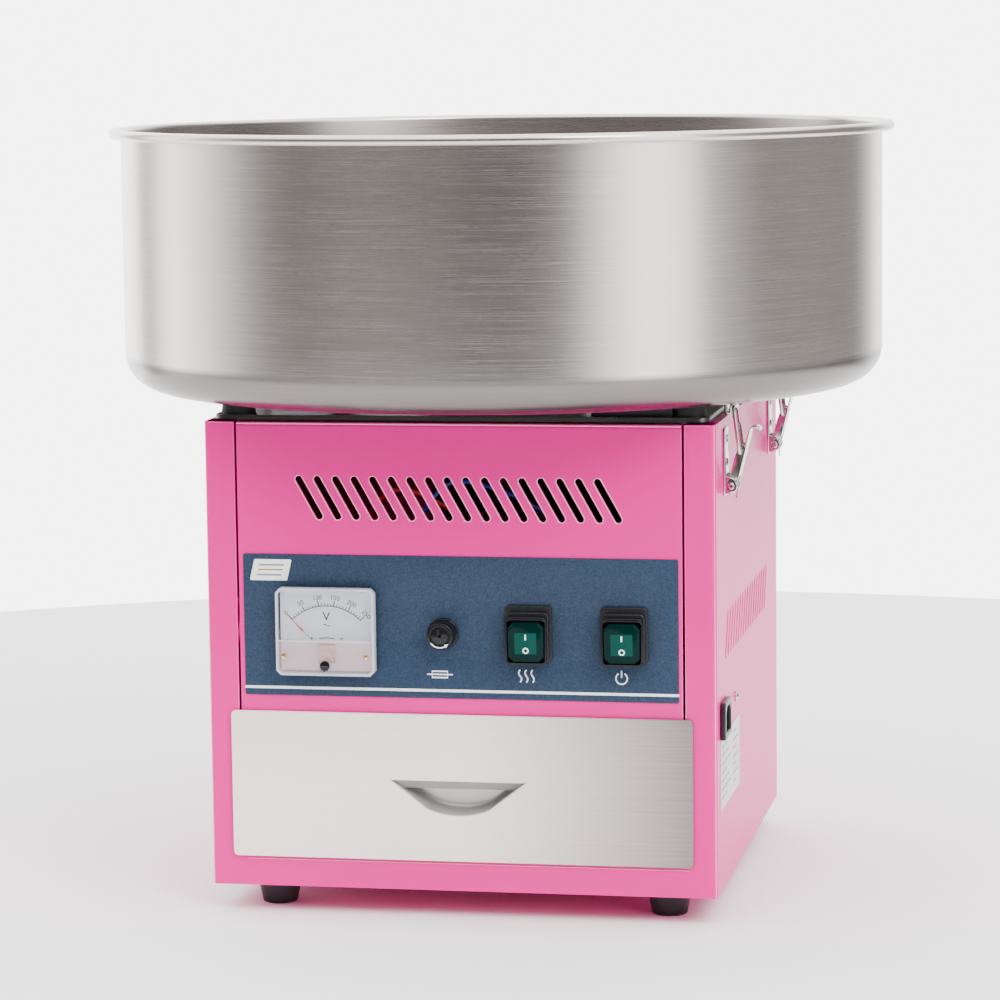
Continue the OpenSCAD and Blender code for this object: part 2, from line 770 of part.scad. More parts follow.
module bowl_section() {
    translate([bowl_r - bowl_t, bowl_z + bowl_corner]) square([bowl_t, bowl_h - bowl_corner - rim_bead]);
    translate([bowl_r - bowl_corner, bowl_z + bowl_corner]) intersection() {
        difference() {
            circle(bowl_corner, $fn = fine);
            circle(bowl_corner - bowl_t, $fn = fine);
        }
        translate([0, -bowl_corner]) square([bowl_corner, bowl_corner]);
    }
    translate([bowl_r - bowl_t, rim_z - rim_bead]) square([bowl_t, rim_bead]);
    translate([bowl_r - bowl_t, rim_z - bowl_t]) square([rim_r - bowl_r - rim_bead + bowl_t, bowl_t]);
    translate([rim_r - rim_bead, rim_z - rim_bead]) intersection() {
        difference() {
            circle(rim_bead);
            circle(rim_bead - bowl_t);
        }
        translate([-0.1, -rim_bead]) square([2 * rim_bead, 2 * rim_bead]);
    }
}

module bowl() color(steel) rotate_extrude($fn = 128) bowl_section();

catch_w = 16;

// Hook bracket in X and Z, hanging from the bowl's floor
module catch_profile() {
    translate([146, bowl_z - 1.5]) square([20, 1.5]);
    translate([164.6, bowl_z - 9]) square([1.4, 9]);
    translate([164.6, bowl_z - 9]) square([4, 1.4]);
    translate([167.3, bowl_z - 9]) square([1.3, 4.2]);
}

// Two copies on the right side and one in the middle of the left side
module at_latches() {
    for (y = [-latch_y, latch_y]) translate([0, y, 0]) children();
    mirror([1, 0, 0]) children();
}

module bowl_catches() color(zinc) at_latches() from_front(-catch_w / 2, catch_w) catch_profile();

// ---------- toggle latches ----------

plate_lo = 269;
plate_hi = 312;
ear_in = 8.5;

module latch_base() {
    from_side(half, 1.2) translate([0, (plate_lo + plate_hi) / 2]) rounded(20, plate_hi - plate_lo, 3);
    for (y = [-ear_in - 1.2, ear_in])
        translate([0, y, 0]) difference() {
            union() {
                translate([half + 1.2, 0, lever_pivot[1] - 4]) cube([lever_pivot[0] - half - 1.2, 1.2, 8]);
                translate([lever_pivot[0], 0, lever_pivot[1]]) rotate([-90, 0, 0]) cylinder(r = 4, h = 1.2);
            }
            translate([lever_pivot[0], -1, lever_pivot[1]]) rotate([-90, 0, 0]) cylinder(r = 1.55, h = 4);
        }
    translate([lever_pivot[0], -ear_in - 2.2, lever_pivot[1]]) rotate([-90, 0, 0])
        cylinder(r = 1.5, h = 2 * ear_in + 4.4);
    for (z = [plate_lo + 21, plate_hi - 7])
        translate([half + 1.2, 0, z]) rotate([0, 90, 0]) cylinder(r1 = 2.8, r2 = 2, h = 1.2);
}

module latch_bases() color(zinc) at_latches() latch_base();

cheek = 6.8;
cheek_t = 1.2;
web_lo = 7;
web_hi = 37;
curl_r = 3.2;

module latch_lever() translate([lever_pivot[0], 0, lever_pivot[1]]) rotate([0, lever_lean, 0]) {
    for (y = [-cheek - cheek_t, cheek]) translate([0, y, 0]) difference() {
        union() {
            translate([-2.6, 0, 0]) cube([5.8, cheek_t, bail_at + 5]);
            rotate([-90, 0, 0]) cylinder(r = 2.6, h = cheek_t);
        }
        translate([0, -1, 0]) rotate([-90, 0, 0]) cylinder(r = 1.57, h = 4);
        translate([0, -1, bail_at]) rotate([-90, 0, 0]) cylinder(r = bail_wire + 0.06, h = 4);
    }
    translate([2, -cheek - cheek_t, web_lo]) cube([1.2, 2 * (cheek + cheek_t), web_hi - web_lo]);
    translate([2 + curl_r, 0, web_hi]) rotate([90, 0, 0]) difference() {
        cylinder(r = curl_r, h = 2 * (cheek + cheek_t), center = true);
        cylinder(r = curl_r - 1.2, h = 40, center = true);
        translate([-10, -20, -20]) cube([20, 20, 40]);
    }
}

module latch_bail() {
    thin = bail_wire - 0.05;
    pivot = [lever_pivot[0] + bail_at * sin(lever_lean), 0, lever_pivot[1] + bail_at * cos(lever_lean)];
    bar = [bail_bar[0], 0, bail_bar[1]];
    along = (bar - pivot) / norm(bar - pivot);
    for (s = [-1, 1]) {
        out = [0, s * bail_half, 0];
        rod(pivot + out - along, bar + out + along, bail_wire);
        rod(pivot + [0, s * (cheek - 0.6), 0], pivot + out + [0, s, 0], thin);
    }
    rod(bar - [0, bail_half + 1, 0], bar + [0, bail_half + 1, 0], thin);
}

module latch_lever_fr() color(zinc) translate([0, -latch_y, 0]) latch_lever();
module latch_lever_br() color(zinc) translate([0, latch_y, 0]) latch_lever();
module latch_lever_left() color(zinc) mirror([1, 0, 0]) latch_lever();
module latch_bail_fr() color(zinc) translate([0, -latch_y, 0]) latch_bail();
module latch_bail_br() color(zinc) translate([0, latch_y, 0]) latch_bail();
module latch_bail_left() color(zinc) mirror([1, 0, 0]) latch_bail();

body_shell();
front_panel();
back_panel();
base_plate();
divider_shelf();
top_tray();
bowl_bumpers();
feet();
case_screws();
control_label();
meter_case();
meter_dial();
meter_coil();
meter_cover();
meter_needle();
meter_zero_screw();
fuse_holder();
fuse_carrier();
fuse_cartridge();
fuse_cap();
switch_body(heat_x);  // switch_body_heat
switch_body(power_x);  // switch_body_power
rocker(heat_x);  // rocker_heat
rocker(power_x);  // rocker_power
inlet_housing();
inlet_pins();
terminal_block();
wire_red();
wire_blue();
motor_housing();
motor_bracket();
motor_mounts();
motor_bearings();
capacitor();
brush_holder();
carbon_brushes();
motor_rotor();
cooling_fan();
slip_rings();
head_base();
heater_ribbon();
mesh_band();
head_cap();
head_screws();
drawer_box();
drawer_front();
drawer_pull();
drawer_runners();
bowl();
bowl_floor();
bowl_catches();
latch_bases();
latch_lever_fr();
latch_lever_br();
latch_lever_left();
latch_bail_fr();
latch_bail_br();
latch_bail_left();
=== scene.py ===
import math

import bmesh
import bpy
from mathutils import Matrix, Vector


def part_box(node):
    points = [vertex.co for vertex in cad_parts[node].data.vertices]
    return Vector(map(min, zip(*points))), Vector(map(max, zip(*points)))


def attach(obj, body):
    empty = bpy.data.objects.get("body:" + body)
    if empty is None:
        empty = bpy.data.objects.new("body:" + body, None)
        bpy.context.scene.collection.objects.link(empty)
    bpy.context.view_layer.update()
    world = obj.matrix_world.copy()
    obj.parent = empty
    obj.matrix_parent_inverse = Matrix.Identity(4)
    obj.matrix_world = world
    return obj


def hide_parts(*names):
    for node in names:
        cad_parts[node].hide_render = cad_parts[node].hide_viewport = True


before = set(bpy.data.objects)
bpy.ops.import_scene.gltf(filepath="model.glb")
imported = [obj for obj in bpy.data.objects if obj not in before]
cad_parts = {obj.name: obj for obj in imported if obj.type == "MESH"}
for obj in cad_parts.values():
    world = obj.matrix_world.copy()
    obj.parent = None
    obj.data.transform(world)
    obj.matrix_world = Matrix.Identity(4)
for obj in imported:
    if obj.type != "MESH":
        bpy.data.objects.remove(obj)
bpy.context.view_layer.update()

# Looks of a table-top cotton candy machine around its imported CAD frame.
# Lengths in the helpers are millimetres in the CAD frame: +X right, -Y front, +Z up.

MM = 0.001


def box_mm(node):
    """Lowest and highest corners of a CAD node, in mm."""
    low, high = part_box(node)
    return Vector(low) / MM, Vector(high) / MM


def middle_mm(node):
    low, high = box_mm(node)
    return (low + high) / 2


def new_object(name, data):
    thing = bpy.data.objects.new(name, data)
    bpy.context.scene.collection.objects.link(thing)
    return thing


# ---------- node trees ----------


class Nodes:
    """Short names for building the node tree of a material or of the world."""

    def __init__(self, owner):
        owner.use_nodes = True
        self.tree = owner.node_tree
        self.shader = self.tree.nodes.get("Principled BSDF")

    def put(self, value, socket):
        """Links another node's output to a socket, or sets a constant on it."""
        if isinstance(value, bpy.types.NodeSocket):
            self.tree.links.new(value, socket)
        else:
            socket.default_value = value

    def add(self, kind, inputs=None, **settings):
        node = self.tree.nodes.new("ShaderNode" + kind)
        for key, value in settings.items():
            setattr(node, key, value)
        for key, value in (inputs or {}).items():
            self.put(value, node.inputs[key])
        return node

    def set(self, **values):
        """Sets or links inputs of the surface shader."""
        for key, value in values.items():
            self.put(value, self.shader.inputs[key.replace("_", " ")])

    def math(self, operation, *values):
        return self.add("Math", dict(enumerate(values)), operation=operation).outputs[0]

    def place(self):
        """The point on the surface, in metres in the object's own frame."""
        return self.add("TexCoord").outputs["Object"]

    def split(self, vector):
        return self.add("SeparateXYZ", {0: vector}).outputs

    def scaled(self, vector, scale):
        return self.add("Mapping", {"Scale": scale, "Vector": vector}).outputs[0]

    def noise(self, vector, scale, detail=3.0, rough=0.5):
        inputs = {"Scale": scale, "Detail": detail, "Roughness": rough, "Vector": vector}
        return self.add("TexNoise", inputs).outputs["Fac"]

    def spread(self, value, low, high, start=0.3, end=0.7, **settings):
        """Maps a value from the range start to end onto the range low to high."""
        inputs = {"From Min": start, "From Max": end, "To Min": low, "To Max": high, "Value": value}
        return self.add("MapRange", inputs, **settings).outputs[0]

    def blend(self, factor, a, b):
        """Mixes two colours, each a triple or another node's output."""
        inputs = {"Factor": factor}
        for key, colour in (("A", a), ("B", b)):
            inputs[key] = colour if isinstance(colour, bpy.types.NodeSocket) else (*colour, 1)
        return self.add("Mix", inputs, data_type="RGBA").outputs["Result"]

    def bump(self, height, strength, distance=0.0002):
        inputs = {"Strength": strength, "Distance": distance, "Height": height}
        self.set(Normal=self.add("Bump", inputs).outputs["Normal"])


# ---------- camera, floor and light ----------

CAMERA_AT = Vector((0.4693, -2.4737, 0.5653))
CAMERA_YAW = 0.189
CAMERA_PITCH = 0.125
CAMERA_ROLL = -0.012
LENS_MM = 135.8


def make_camera():
    """A camera with no shift, turned left by yaw, down by pitch and rolled a little."""
    forward = Vector((
        -math.sin(CAMERA_YAW) * math.cos(CAMERA_PITCH),
        math.cos(CAMERA_YAW) * math.cos(CAMERA_PITCH),
        -math.sin(CAMERA_PITCH),
    ))
    level = Vector((math.cos(CAMERA_YAW), math.sin(CAMERA_YAW), 0))
    upright = level.cross(forward)
    right = math.cos(CAMERA_ROLL) * level + math.sin(CAMERA_ROLL) * upright
    up = -math.sin(CAMERA_ROLL) * level + math.cos(CAMERA_ROLL) * upright
    data = bpy.data.cameras.new("camera")
    data.lens = LENS_MM
    data.sensor_width = 36
    data.clip_start = 0.05
    data.clip_end = 60
    camera = new_object("camera", data)
    turn = Matrix((right, up, -forward)).transposed().to_4x4()
    camera.matrix_world = Matrix.Translation(CAMERA_AT) @ turn
    bpy.context.scene.camera = camera


KEY_AT = Vector((1.7, -2.0, 2.5))
KEY_AIM = Vector((0, 0, 0.3))
KEY_SIZE = 1.3
KEY_POWER = 55


def make_key_light():
    """A large soft light from the front right."""
    data = bpy.data.lights.new("key", "AREA")
    data.shape = "RECTANGLE"
    data.size = KEY_SIZE
    data.size_y = KEY_SIZE
    data.energy = KEY_POWER
    light = new_object("key", data)
    light.location = KEY_AT
    light.rotation_euler = (KEY_AIM - KEY_AT).to_track_quat("-Z", "Y").to_euler()


# Brightness of the studio round the object: degrees from the front towards +X, then radiance
STUDIO = [
    (-180, 3.6), (-151, 5.2), (-136, 5.0), (-126, 1.2), (-119, 1.4), (-110, 3.8), (-104, 4.5), (-94, 3.0),
    (-83, 1.6), (-72, 0.7), (-62, 0.3), (-53, 0.2), (-36, 0.26), (-20, 0.22), (3, 0.1), (16, 0.08),
    (27, 0.16), (34, 0.7), (42, 2.2), (50, 3.9), (60, 4.0), (66, 3.2), (73, 0.9), (83, 0.6), (93, 0.36),
    (114, 0.42), (143, 0.4), (152, 1.0), (165, 3.0), (180, 3.6)]
PEAK = 6.0
CEILING = 3.9
CEILING_STARTS, CEILING_FULL = 0.38, 0.72
BACKDROP = 6.0
WARMTH = 0.07


def make_world():
    """A soft studio: bright ceiling, and light and dark stretches round it for the steel to reflect."""
    world = bpy.data.worlds.new("studio")
    bpy.context.scene.world = world
    n = Nodes(world)
    n.tree.nodes.clear()
    x, y, z = n.split(n.add("TexCoord").outputs["Generated"])
    angle = n.math("ARCTAN2", x, n.math("MULTIPLY", y, -1))
    ramp = n.add("ValToRGB", {0: n.spread(angle, 0, 1, -math.pi, math.pi)})
    stops = ramp.color_ramp.elements
    while len(stops) > 1:
        stops.remove(stops[-1])
    for i, (degrees, radiance) in enumerate(STUDIO):
        spot = (degrees + 180) / 360
        stop = stops[0] if i == 0 else stops.new(spot)
        stop.position = spot
        grey = radiance / PEAK
        warm = 1 - WARMTH * max(0, 1 - radiance)
        stop.color = (grey, grey * warm, grey * warm * warm, 1)
    height = n.spread(z, 0, 1, CEILING_STARTS, CEILING_FULL, interpolation_type="SMOOTHSTEP")
    room = n.blend(height, ramp.outputs[0], [CEILING / PEAK] * 3)
    camera_ray = n.add("LightPath").outputs["Is Camera Ray"]
    sky = n.add("Background", {"Color": n.blend(camera_ray, room, [BACKDROP / PEAK] * 3), "Strength": PEAK})
    n.add("OutputWorld", {"Surface": sky.outputs[0]})


FLOOR_R = 1.25
FLOOR_SIDES = 96


def make_floor():
    """A pale round table top that ends beyond the camera's view."""
    mesh = bpy.data.meshes.new("floor")
    turns = [2 * math.pi * k / FLOOR_SIDES for k in range(FLOOR_SIDES)]
    points = [Vector((FLOOR_R * math.cos(t), FLOOR_R * math.sin(t), 0)) for t in turns]
    mesh.from_pydata(points, [], [tuple(range(FLOOR_SIDES))])
    floor = new_object("floor", mesh)
    mesh.materials.append(make_material("floor_white", (0.93, 0.93, 0.93), 0.9, vary=0.01, specular=0.1))


# ---------- materials ----------


def shades(colour, vary):
    """The darkest and lightest tone of a colour that varies by a share of itself."""
    return [c * (1 - vary) for c in colour], [min(1, c * (1 + vary)) for c in colour]


def make_material(name, colour, rough, metal=0.0, grain=600, bump=0.05, vary=0.04, specular=0.5):
    """A surface whose colour, roughness and height all vary finely."""
    material = bpy.data.materials.new(name)
    n = Nodes(material)
    place = n.place()
    cloud = n.noise(place, 9, 4)
    fine = n.noise(place, grain)
    n.set(Base_Color=n.blend(n.math("MULTIPLY_ADD", cloud, 0.6), *shades(colour, vary)),
          Roughness=n.spread(fine, rough * 0.9, min(1, rough * 1.12)),
          Metallic=metal, Specular_IOR_Level=specular)
    n.bump(fine, bump)
    return material


def brushed_material(name, colour, rough, stretch, lines=2.2, vary=0.06, around=False, painted_side_shade=None,
                     painted_shade_foot=None):
    """Brushed metal. stretch scales the line pattern along X, Y and Z; around draws it round the Z axis.
    painted_side_shade is how far the tone darkens from the left end of the sheet to its right end, a painted
    shade;
    painted_shade_foot is the range of heights in metres over which the metal goes from a painted dark shade
    to its own tone."""
    material = bpy.data.materials.new(name)
    n = Nodes(material)
    place = n.place()
    x, y, z = n.split(place)
    pattern = place
    if around:
        radius = n.math("SQRT", n.math("ADD", n.math("MULTIPLY", x, x), n.math("MULTIPLY", y, y)))
        joined = {0: n.math("DIVIDE", x, radius), 1: n.math("DIVIDE", y, radius), 2: n.math("ADD", z, radius)}
        pattern = n.add("CombineXYZ", joined).outputs[0]
        tangent = n.add("Tangent", direction_type="RADIAL", axis="Z").outputs[0]
        n.set(Anisotropic_Rotation=0.25, Tangent=tangent)
    streak = n.noise(n.scaled(pattern, stretch), 1.0, 6, 0.62)
    broad = n.noise(place, 5, 2)
    shade = n.math("ADD", n.math("MULTIPLY", streak, 0.75), n.math("MULTIPLY", broad, 0.25))
    tone = n.spread(shade, 0, 1, 0.35, 0.65)
    # Painted shade: the tone darkens from the middle of the sheet towards its right end.
    if painted_side_shade is not None:
        tone = n.math("ADD", n.math("MULTIPLY", tone, 1 - painted_side_shade), n.spread(x, painted_side_shade, 0, 0.0, 0.15))
    shaded = n.blend(tone, *shades(colour, vary))
    # Painted shade: below the given heights the metal darkens to 0.28 of its colour.
    if painted_shade_foot is not None:
        shaded = n.blend(n.spread(z, 0, 1, *painted_shade_foot), [c * 0.28 for c in colour], shaded)
    n.set(Base_Color=shaded, Roughness=n.spread(streak, rough * 0.8, rough * 1.25),
          Metallic=1.0, Anisotropic=0.6)
    n.bump(streak, 0.05 * lines, 0.0001)
    return material


def pink_paint(n):
    place = n.place()
    peel = n.noise(place, 420, 2)
    speck = n.noise(place, 2600, 2)
    n.set(Base_Color=n.blend(n.noise(place, 6), (0.78, 0.002, 0.25), (0.84, 0.003, 0.275)),
          Roughness=n.spread(speck, 0.26, 0.36), IOR=1.45, Specular_IOR_Level=0.07,
          Coat_Weight=0.09, Coat_Roughness=0.05, Coat_IOR=1.5)
    n.bump(n.math("ADD", n.math("MULTIPLY", peel, 0.8), n.math("MULTIPLY", speck, 0.2)), 0.045, 0.0004)


def pink_edge(n):
    """Glossy paint on a rounded edge, in a lighter pink that is a painted highlight."""
    place = n.place()
    n.set(Base_Color=n.blend(n.noise(place, 40, 2), (0.92, 0.14, 0.37), (0.96, 0.19, 0.42)),
          Roughness=n.spread(n.noise(place, 900, 2), 0.1, 0.18),
          Coat_Weight=1.0, Coat_Roughness=0.05, Coat_IOR=1.6, Specular_IOR_Level=0.6)


def label_film(n):
    """Dark slate film with the fine woven grain of a printed panel."""
    place = n.place()
    weave_a = n.noise(n.scaled(place, (2600, 300, 900)), 1, 2)
    weave_b = n.noise(n.scaled(place, (900, 300, 2600)), 1, 2)
    grain = n.math("MULTIPLY", n.math("ADD", weave_a, weave_b), 0.5)
    n.set(Base_Color=n.blend(n.spread(grain, 0, 1, 0.4, 0.6), (0.015, 0.028, 0.054), (0.032, 0.056, 0.098)),
          Roughness=n.spread(grain, 0.5, 0.36, 0.4, 0.6), Specular_IOR_Level=0.15)
    n.bump(grain, 0.3)


def clear_plastic(n):
    n.set(Base_Color=(0.96, 0.98, 1, 1), Transmission_Weight=1.0, IOR=1.35,
          Roughness=n.spread(n.noise(n.place(), 300, 2), 0.02, 0.05))


def moulded_clear(n):
    """The thicker, half-clear walls of the meter's cover."""
    n.set(Base_Color=(0.86, 0.9, 0.97, 1), Transmission_Weight=0.45, IOR=1.3,
          Roughness=n.spread(n.noise(n.place(), 300, 2), 0.12, 0.2))


def ribbed_clear(n):
    """Clear plastic with a fine square pattern moulded into it."""
    place = n.place()
    ribs = [n.add("TexWave", {"Scale": 330, "Vector": place}, wave_type="BANDS", bands_direction=way)
            for way in "XZ"]
    grid = n.math("MULTIPLY", *[wave.outputs["Fac"] for wave in ribs])
    n.set(Base_Color=n.blend(grid, (0.86, 0.72, 0.76), (0.99, 0.96, 0.97)),
          Transmission_Weight=0.8, IOR=1.3, Roughness=0.16)
    n.bump(grid, 0.3, 0.0003)


def green_lens(n, colour):
    place = n.place()
    n.set(Base_Color=n.blend(n.noise(place, 120, 2), [c * 0.85 for c in colour], colour),
          Roughness=n.spread(n.noise(place, 1500, 2), 0.13, 0.2),
          Coat_Weight=0.02, Coat_Roughness=0.04, Specular_IOR_Level=0.06)


# Name: colour, roughness, metal, scale of the grain, bump, and if needed variation and specular level
PLAIN = {
    "zinc": ((0.60, 0.585, 0.57), 0.13, 1.0, 300, 0.03),
    # Spun aluminium of the head, also used for the bright rim bead on the tray as a painted highlight.
    "spun_aluminium": ((0.74, 0.74, 0.75), 0.3, 1.0, 500, 0.05),
    "galvanised": ((0.30, 0.31, 0.33), 0.45, 1.0, 90, 0.08, 0.12),
    # A darkened copy of zinc for the parts inside the cabinet and the tray's collar: painted shade.
    "zinc_painted_shade": ((0.10, 0.105, 0.115), 0.45, 1.0, 90, 0.08, 0.12),
    "chrome_wire": ((0.66, 0.65, 0.63), 0.12, 1.0, 200, 0.02),
    "gold": ((0.83, 0.56, 0.22), 0.25, 1.0, 400, 0.04),
    "copper": ((0.80, 0.46, 0.26), 0.3, 1.0, 400, 0.05),
    "rubber": ((0.018, 0.018, 0.02), 0.5, 0.0, 1500, 0.12, 0.2, 0.25),
    "black_plastic": ((0.012, 0.012, 0.014), 0.28, 0.0, 2200, 0.06, 0.2, 0.25),
    "black_gloss": ((0.006, 0.006, 0.008), 0.12, 0.0, 900, 0.03, 0.2, 0.25),
    "white_print": ((0.86, 0.87, 0.88), 0.45, 0.0, 900, 0.03),
    "grey_print": ((0.22, 0.23, 0.26), 0.5, 0.0, 900, 0.03),
    # Black print, also the black marks that stand for screw recesses as painted shade.
    "black_print_and_recess_shade": ((0.035, 0.035, 0.045), 0.5, 0.0, 900, 0.03, 0.04, 0.25),
    "dial_card": ((0.94, 0.95, 0.99), 0.4, 0.0, 700, 0.02, 0.02),
    "silver_label": ((0.60, 0.58, 0.58), 0.35, 0.35, 800, 0.04),
    "needle_red": ((0.78, 0.02, 0.05), 0.35, 0.0, 900, 0.03),
    "red_wire": ((0.60, 0.02, 0.03), 0.35, 0.0, 500, 0.05),
    "blue_wire": ((0.02, 0.06, 0.45), 0.35, 0.0, 500, 0.05),
    "ceramic": ((0.12, 0.11, 0.095), 0.4, 0.0, 300, 0.05),
    "carbon": ((0.03, 0.03, 0.032), 0.55, 0.2, 900, 0.1),
    "motor_enamel": ((0.09, 0.10, 0.12), 0.35, 0.0, 700, 0.08),
    "pull_steel": ((0.62, 0.59, 0.58), 0.36, 0.55, 500, 0.04, 0.05),
}
BRUSHED = {
    "bowl_steel": dict(colour=(0.62, 0.575, 0.55), rough=0.24, stretch=(3, 3, 2400), around=True,
                       lines=0.8, vary=0.05, painted_shade_foot=(0.3505, 0.3545)),
    # A darker copy of the bowl steel for its inner faces: painted shade.
    "bowl_inside_painted_shade": dict(colour=(0.40, 0.365, 0.35), rough=0.26, stretch=(3, 3, 2400), around=True,
                        lines=0.8, vary=0.05),
    # The tray's steel is made nearly black: painted shade under the bowl.
    "tray_steel_painted_shade": dict(colour=(0.12, 0.11, 0.115), rough=0.3, stretch=(12, 900, 900)),
    # The drawer sheet carries a painted shade towards its right end.
    "drawer_steel": dict(colour=(0.62, 0.52, 0.49), rough=0.33, stretch=(9, 2200, 2200),
                         lines=1.0, vary=0.72, painted_side_shade=0.85),
}
GREENS = {"green_dark": (0.0, 0.015, 0.013), "green_light": (0.0, 0.055, 0.044)}


def make_library():
    """Every material by name."""
    library = {name: make_material(name, *values) for name, values in PLAIN.items()}
    for name, values in BRUSHED.items():
        library[name] = brushed_material(name, **values)
    for paint in (pink_paint, pink_edge, label_film, clear_plastic, moulded_clear, ribbed_clear):
        library[paint.__name__] = bpy.data.materials.new(paint.__name__)
        paint(Nodes(library[paint.__name__]))
    for name, colour in GREENS.items():
        library[name] = bpy.data.materials.new(name)
        green_lens(Nodes(library[name]), colour)
    return library


CAD_LOOKS = {
    "pink_paint": "body_shell front_panel back_panel base_plate",
    "tray_steel_painted_shade": "top_tray",
    "galvanised": "drawer_box drawer_runners motor_rotor",
    "zinc_painted_shade": "divider_shelf motor_bracket capacitor",
    "spun_aluminium": "head_base head_cap mesh_band",
    "zinc": "case_screws inlet_pins bowl_catches latch_bases motor_bearings head_screws "
            "latch_lever_fr latch_lever_br latch_lever_left latch_bail_fr latch_bail_br latch_bail_left",
    "rubber": "bowl_bumpers feet motor_mounts",
    "label_film": "control_label",
    "black_plastic": "meter_case meter_zero_screw fuse_holder fuse_carrier fuse_cap switch_body_heat "
                     "switch_body_power inlet_housing brush_holder cooling_fan",
    "dial_card": "meter_dial",
    "gold": "meter_coil",
    "copper": "slip_rings heater_ribbon",
    "clear_plastic": "meter_cover fuse_cartridge",
    "needle_red": "meter_needle",
    "green_dark": "rocker_heat rocker_power",
    "red_wire": "wire_red",
    "blue_wire": "wire_blue",
    "ceramic": "terminal_block",
    "carbon": "carbon_brushes",
    "motor_enamel": "motor_housing",
    "bowl_steel": "bowl bowl_floor",
    "drawer_steel": "drawer_front",
    "pull_steel": "drawer_pull",
}


def dress_cad_nodes():
    for look, names in CAD_LOOKS.items():
        for name in names.split():
            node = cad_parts[name]
            node.data.materials.clear()
            node.data.materials.append(LIBRARY[look])


# ---------- mesh helpers ----------


def finish_mesh(mesh, look, sharp=32):
    """A smooth-shaded object from a mesh in metres, with edges over the given angle kept sharp."""
    work = bmesh.new()
    work.from_mesh(mesh)
    bmesh.ops.remove_doubles(work, verts=work.verts, dist=1e-6)
    bmesh.ops.recalc_face_normals(work, faces=work.faces)
    work.to_mesh(mesh)
    work.free()
    mesh.shade_smooth()
    mesh.set_sharp_from_angle(angle=math.radians(sharp))
    mesh.materials.clear()
    mesh.materials.append(LIBRARY[look])
    return new_object("part", mesh)


def add_mesh(points, faces, look, sharp=32):
    """A part from points in mm."""
    mesh = bpy.data.meshes.new("part")
    mesh.from_pydata([Vector(p) * MM for p in points], [], faces)
    return finish_mesh(mesh, look, sharp)


def mesh_from(thing):
    """The mesh of an object as it is drawn, with its curve or modifiers worked out."""
    return bpy.data.meshes.new_from_object(thing.evaluated_get(bpy.context.evaluated_depsgraph_get()))


def mesh_from_curve(curve):
    carrier = new_object("carrier", curve)
    mesh = mesh_from(carrier)
    bpy.data.objects.remove(carrier)
    bpy.data.curves.remove(curve)
    return mesh


def turned(at, degrees, axis):
    """A matrix that turns about an axis through the origin, then moves to a point."""
    return Matrix.Translation(at) @ Matrix.Rotation(math.radians(degrees), 4, axis)


def shift(piece, matrix):
    """Moves a part by a matrix in mm."""
    for vertex in piece.data.vertices:
        vertex.co = (matrix @ (vertex.co / MM)) * MM


def arc(cx, cy, r, start, end, steps=8):
    """Points of an arc in degrees, both ends included."""
    turns = [math.radians(start + (end - start) * i / steps) for i in range(steps + 1)]
    return [(cx + r * math.cos(t), cy + r * math.sin(t)) for t in turns]


def ring_points(cx, cy, r, steps=48):
    return arc(cx, cy, r, 0, 360 * (1 - 1 / steps), steps - 1)


def rounded_rect(cx, cy, w, h, r, steps=6):
    points = []
    for sx, sy, start in ((1, -1, 270), (1, 1, 0), (-1, 1, 90), (-1, -1, 180)):
        points += arc(cx + sx * (w / 2 - r), cy + sy * (h / 2 - r), r, start, start + 90, steps)
    return points


def slot_points(start, end, w, steps=8):
    """Outline of a round-ended slot between two points."""
    lean = math.degrees(math.atan2(end[1] - start[1], end[0] - start[0]))
    return arc(*end, w / 2, lean - 90, lean + 90, steps) + arc(*start, w / 2, lean + 90, lean + 270, steps)


def rounded_profile(corners, steps=5):
    """Closed outline from (x, y, radius) corners, with each corner rounded."""
    outline = []
    count = len(corners)
    for i, (x, y, r) in enumerate(corners):
        here = Vector((x, y))
        to_last = (Vector(corners[i - 1][:2]) - here).normalized()
        to_next = (Vector(corners[(i + 1) % count][:2]) - here).normalized()
        if r <= 0:
            outline.append((x, y))
            continue
        half = math.acos(max(-1, min(1, to_last.dot(to_next)))) / 2
        reach = r / math.tan(half)
        start, end = here + to_last * reach, here + to_next * reach
        centre = here + (to_last + to_next).normalized() * (r / math.sin(half))
        a, b = start - centre, end - centre
        sweep = math.atan2(a.x * b.y - a.y * b.x, a.dot(b))
        for k in range(steps + 1):
            t = sweep * k / steps
            outline.append((centre.x + a.x * math.cos(t) - a.y * math.sin(t),
                            centre.y + a.x * math.sin(t) + a.y * math.cos(t)))
    return outline


def chamfered(cx, cy, w, h, cut, r, first=0):
    """A rectangle with its corners cut off at 45 degrees. first is the corner the outline starts at."""
    a, b = w / 2, h / 2
    corners = [(-a + cut, -b), (a - cut, -b), (a, -b + cut), (a, b - cut),
               (a - cut, b), (-a + cut, b), (-a, b - cut), (-a, -b + cut)]
    corners = corners[first:] + corners[:first]
    return rounded_profile([(cx + x, cy + y, r) for x, y in corners], 3)


def twice_area(outline):
    """Twice the area inside an outline, above zero when it runs anticlockwise."""
    return sum(a[0] * b[1] - b[0] * a[1] for a, b in zip(outline, outline[1:] + outline[:1]))


def lathe(outline, look, at=(0, 0), steps=128, turn=None):
    """Turns a closed outline of (radius, height) round Z. turn is a matrix applied in mm."""
    points, faces = [], []
    count = len(outline)
    for i in range(steps):
        t = 2 * math.pi * i / steps
        points += [Vector((at[0] + r * math.cos(t), at[1] + r * math.sin(t), z)) for r, z in outline]
        here, ahead = i * count, ((i + 1) % steps) * count
        for k in range(count):
            after = (k + 1) % count
            faces.append((here + k, here + after, ahead + after, ahead + k))
    if turn is not None:
        points = [turn @ p for p in points]
    return add_mesh(points, faces, look)


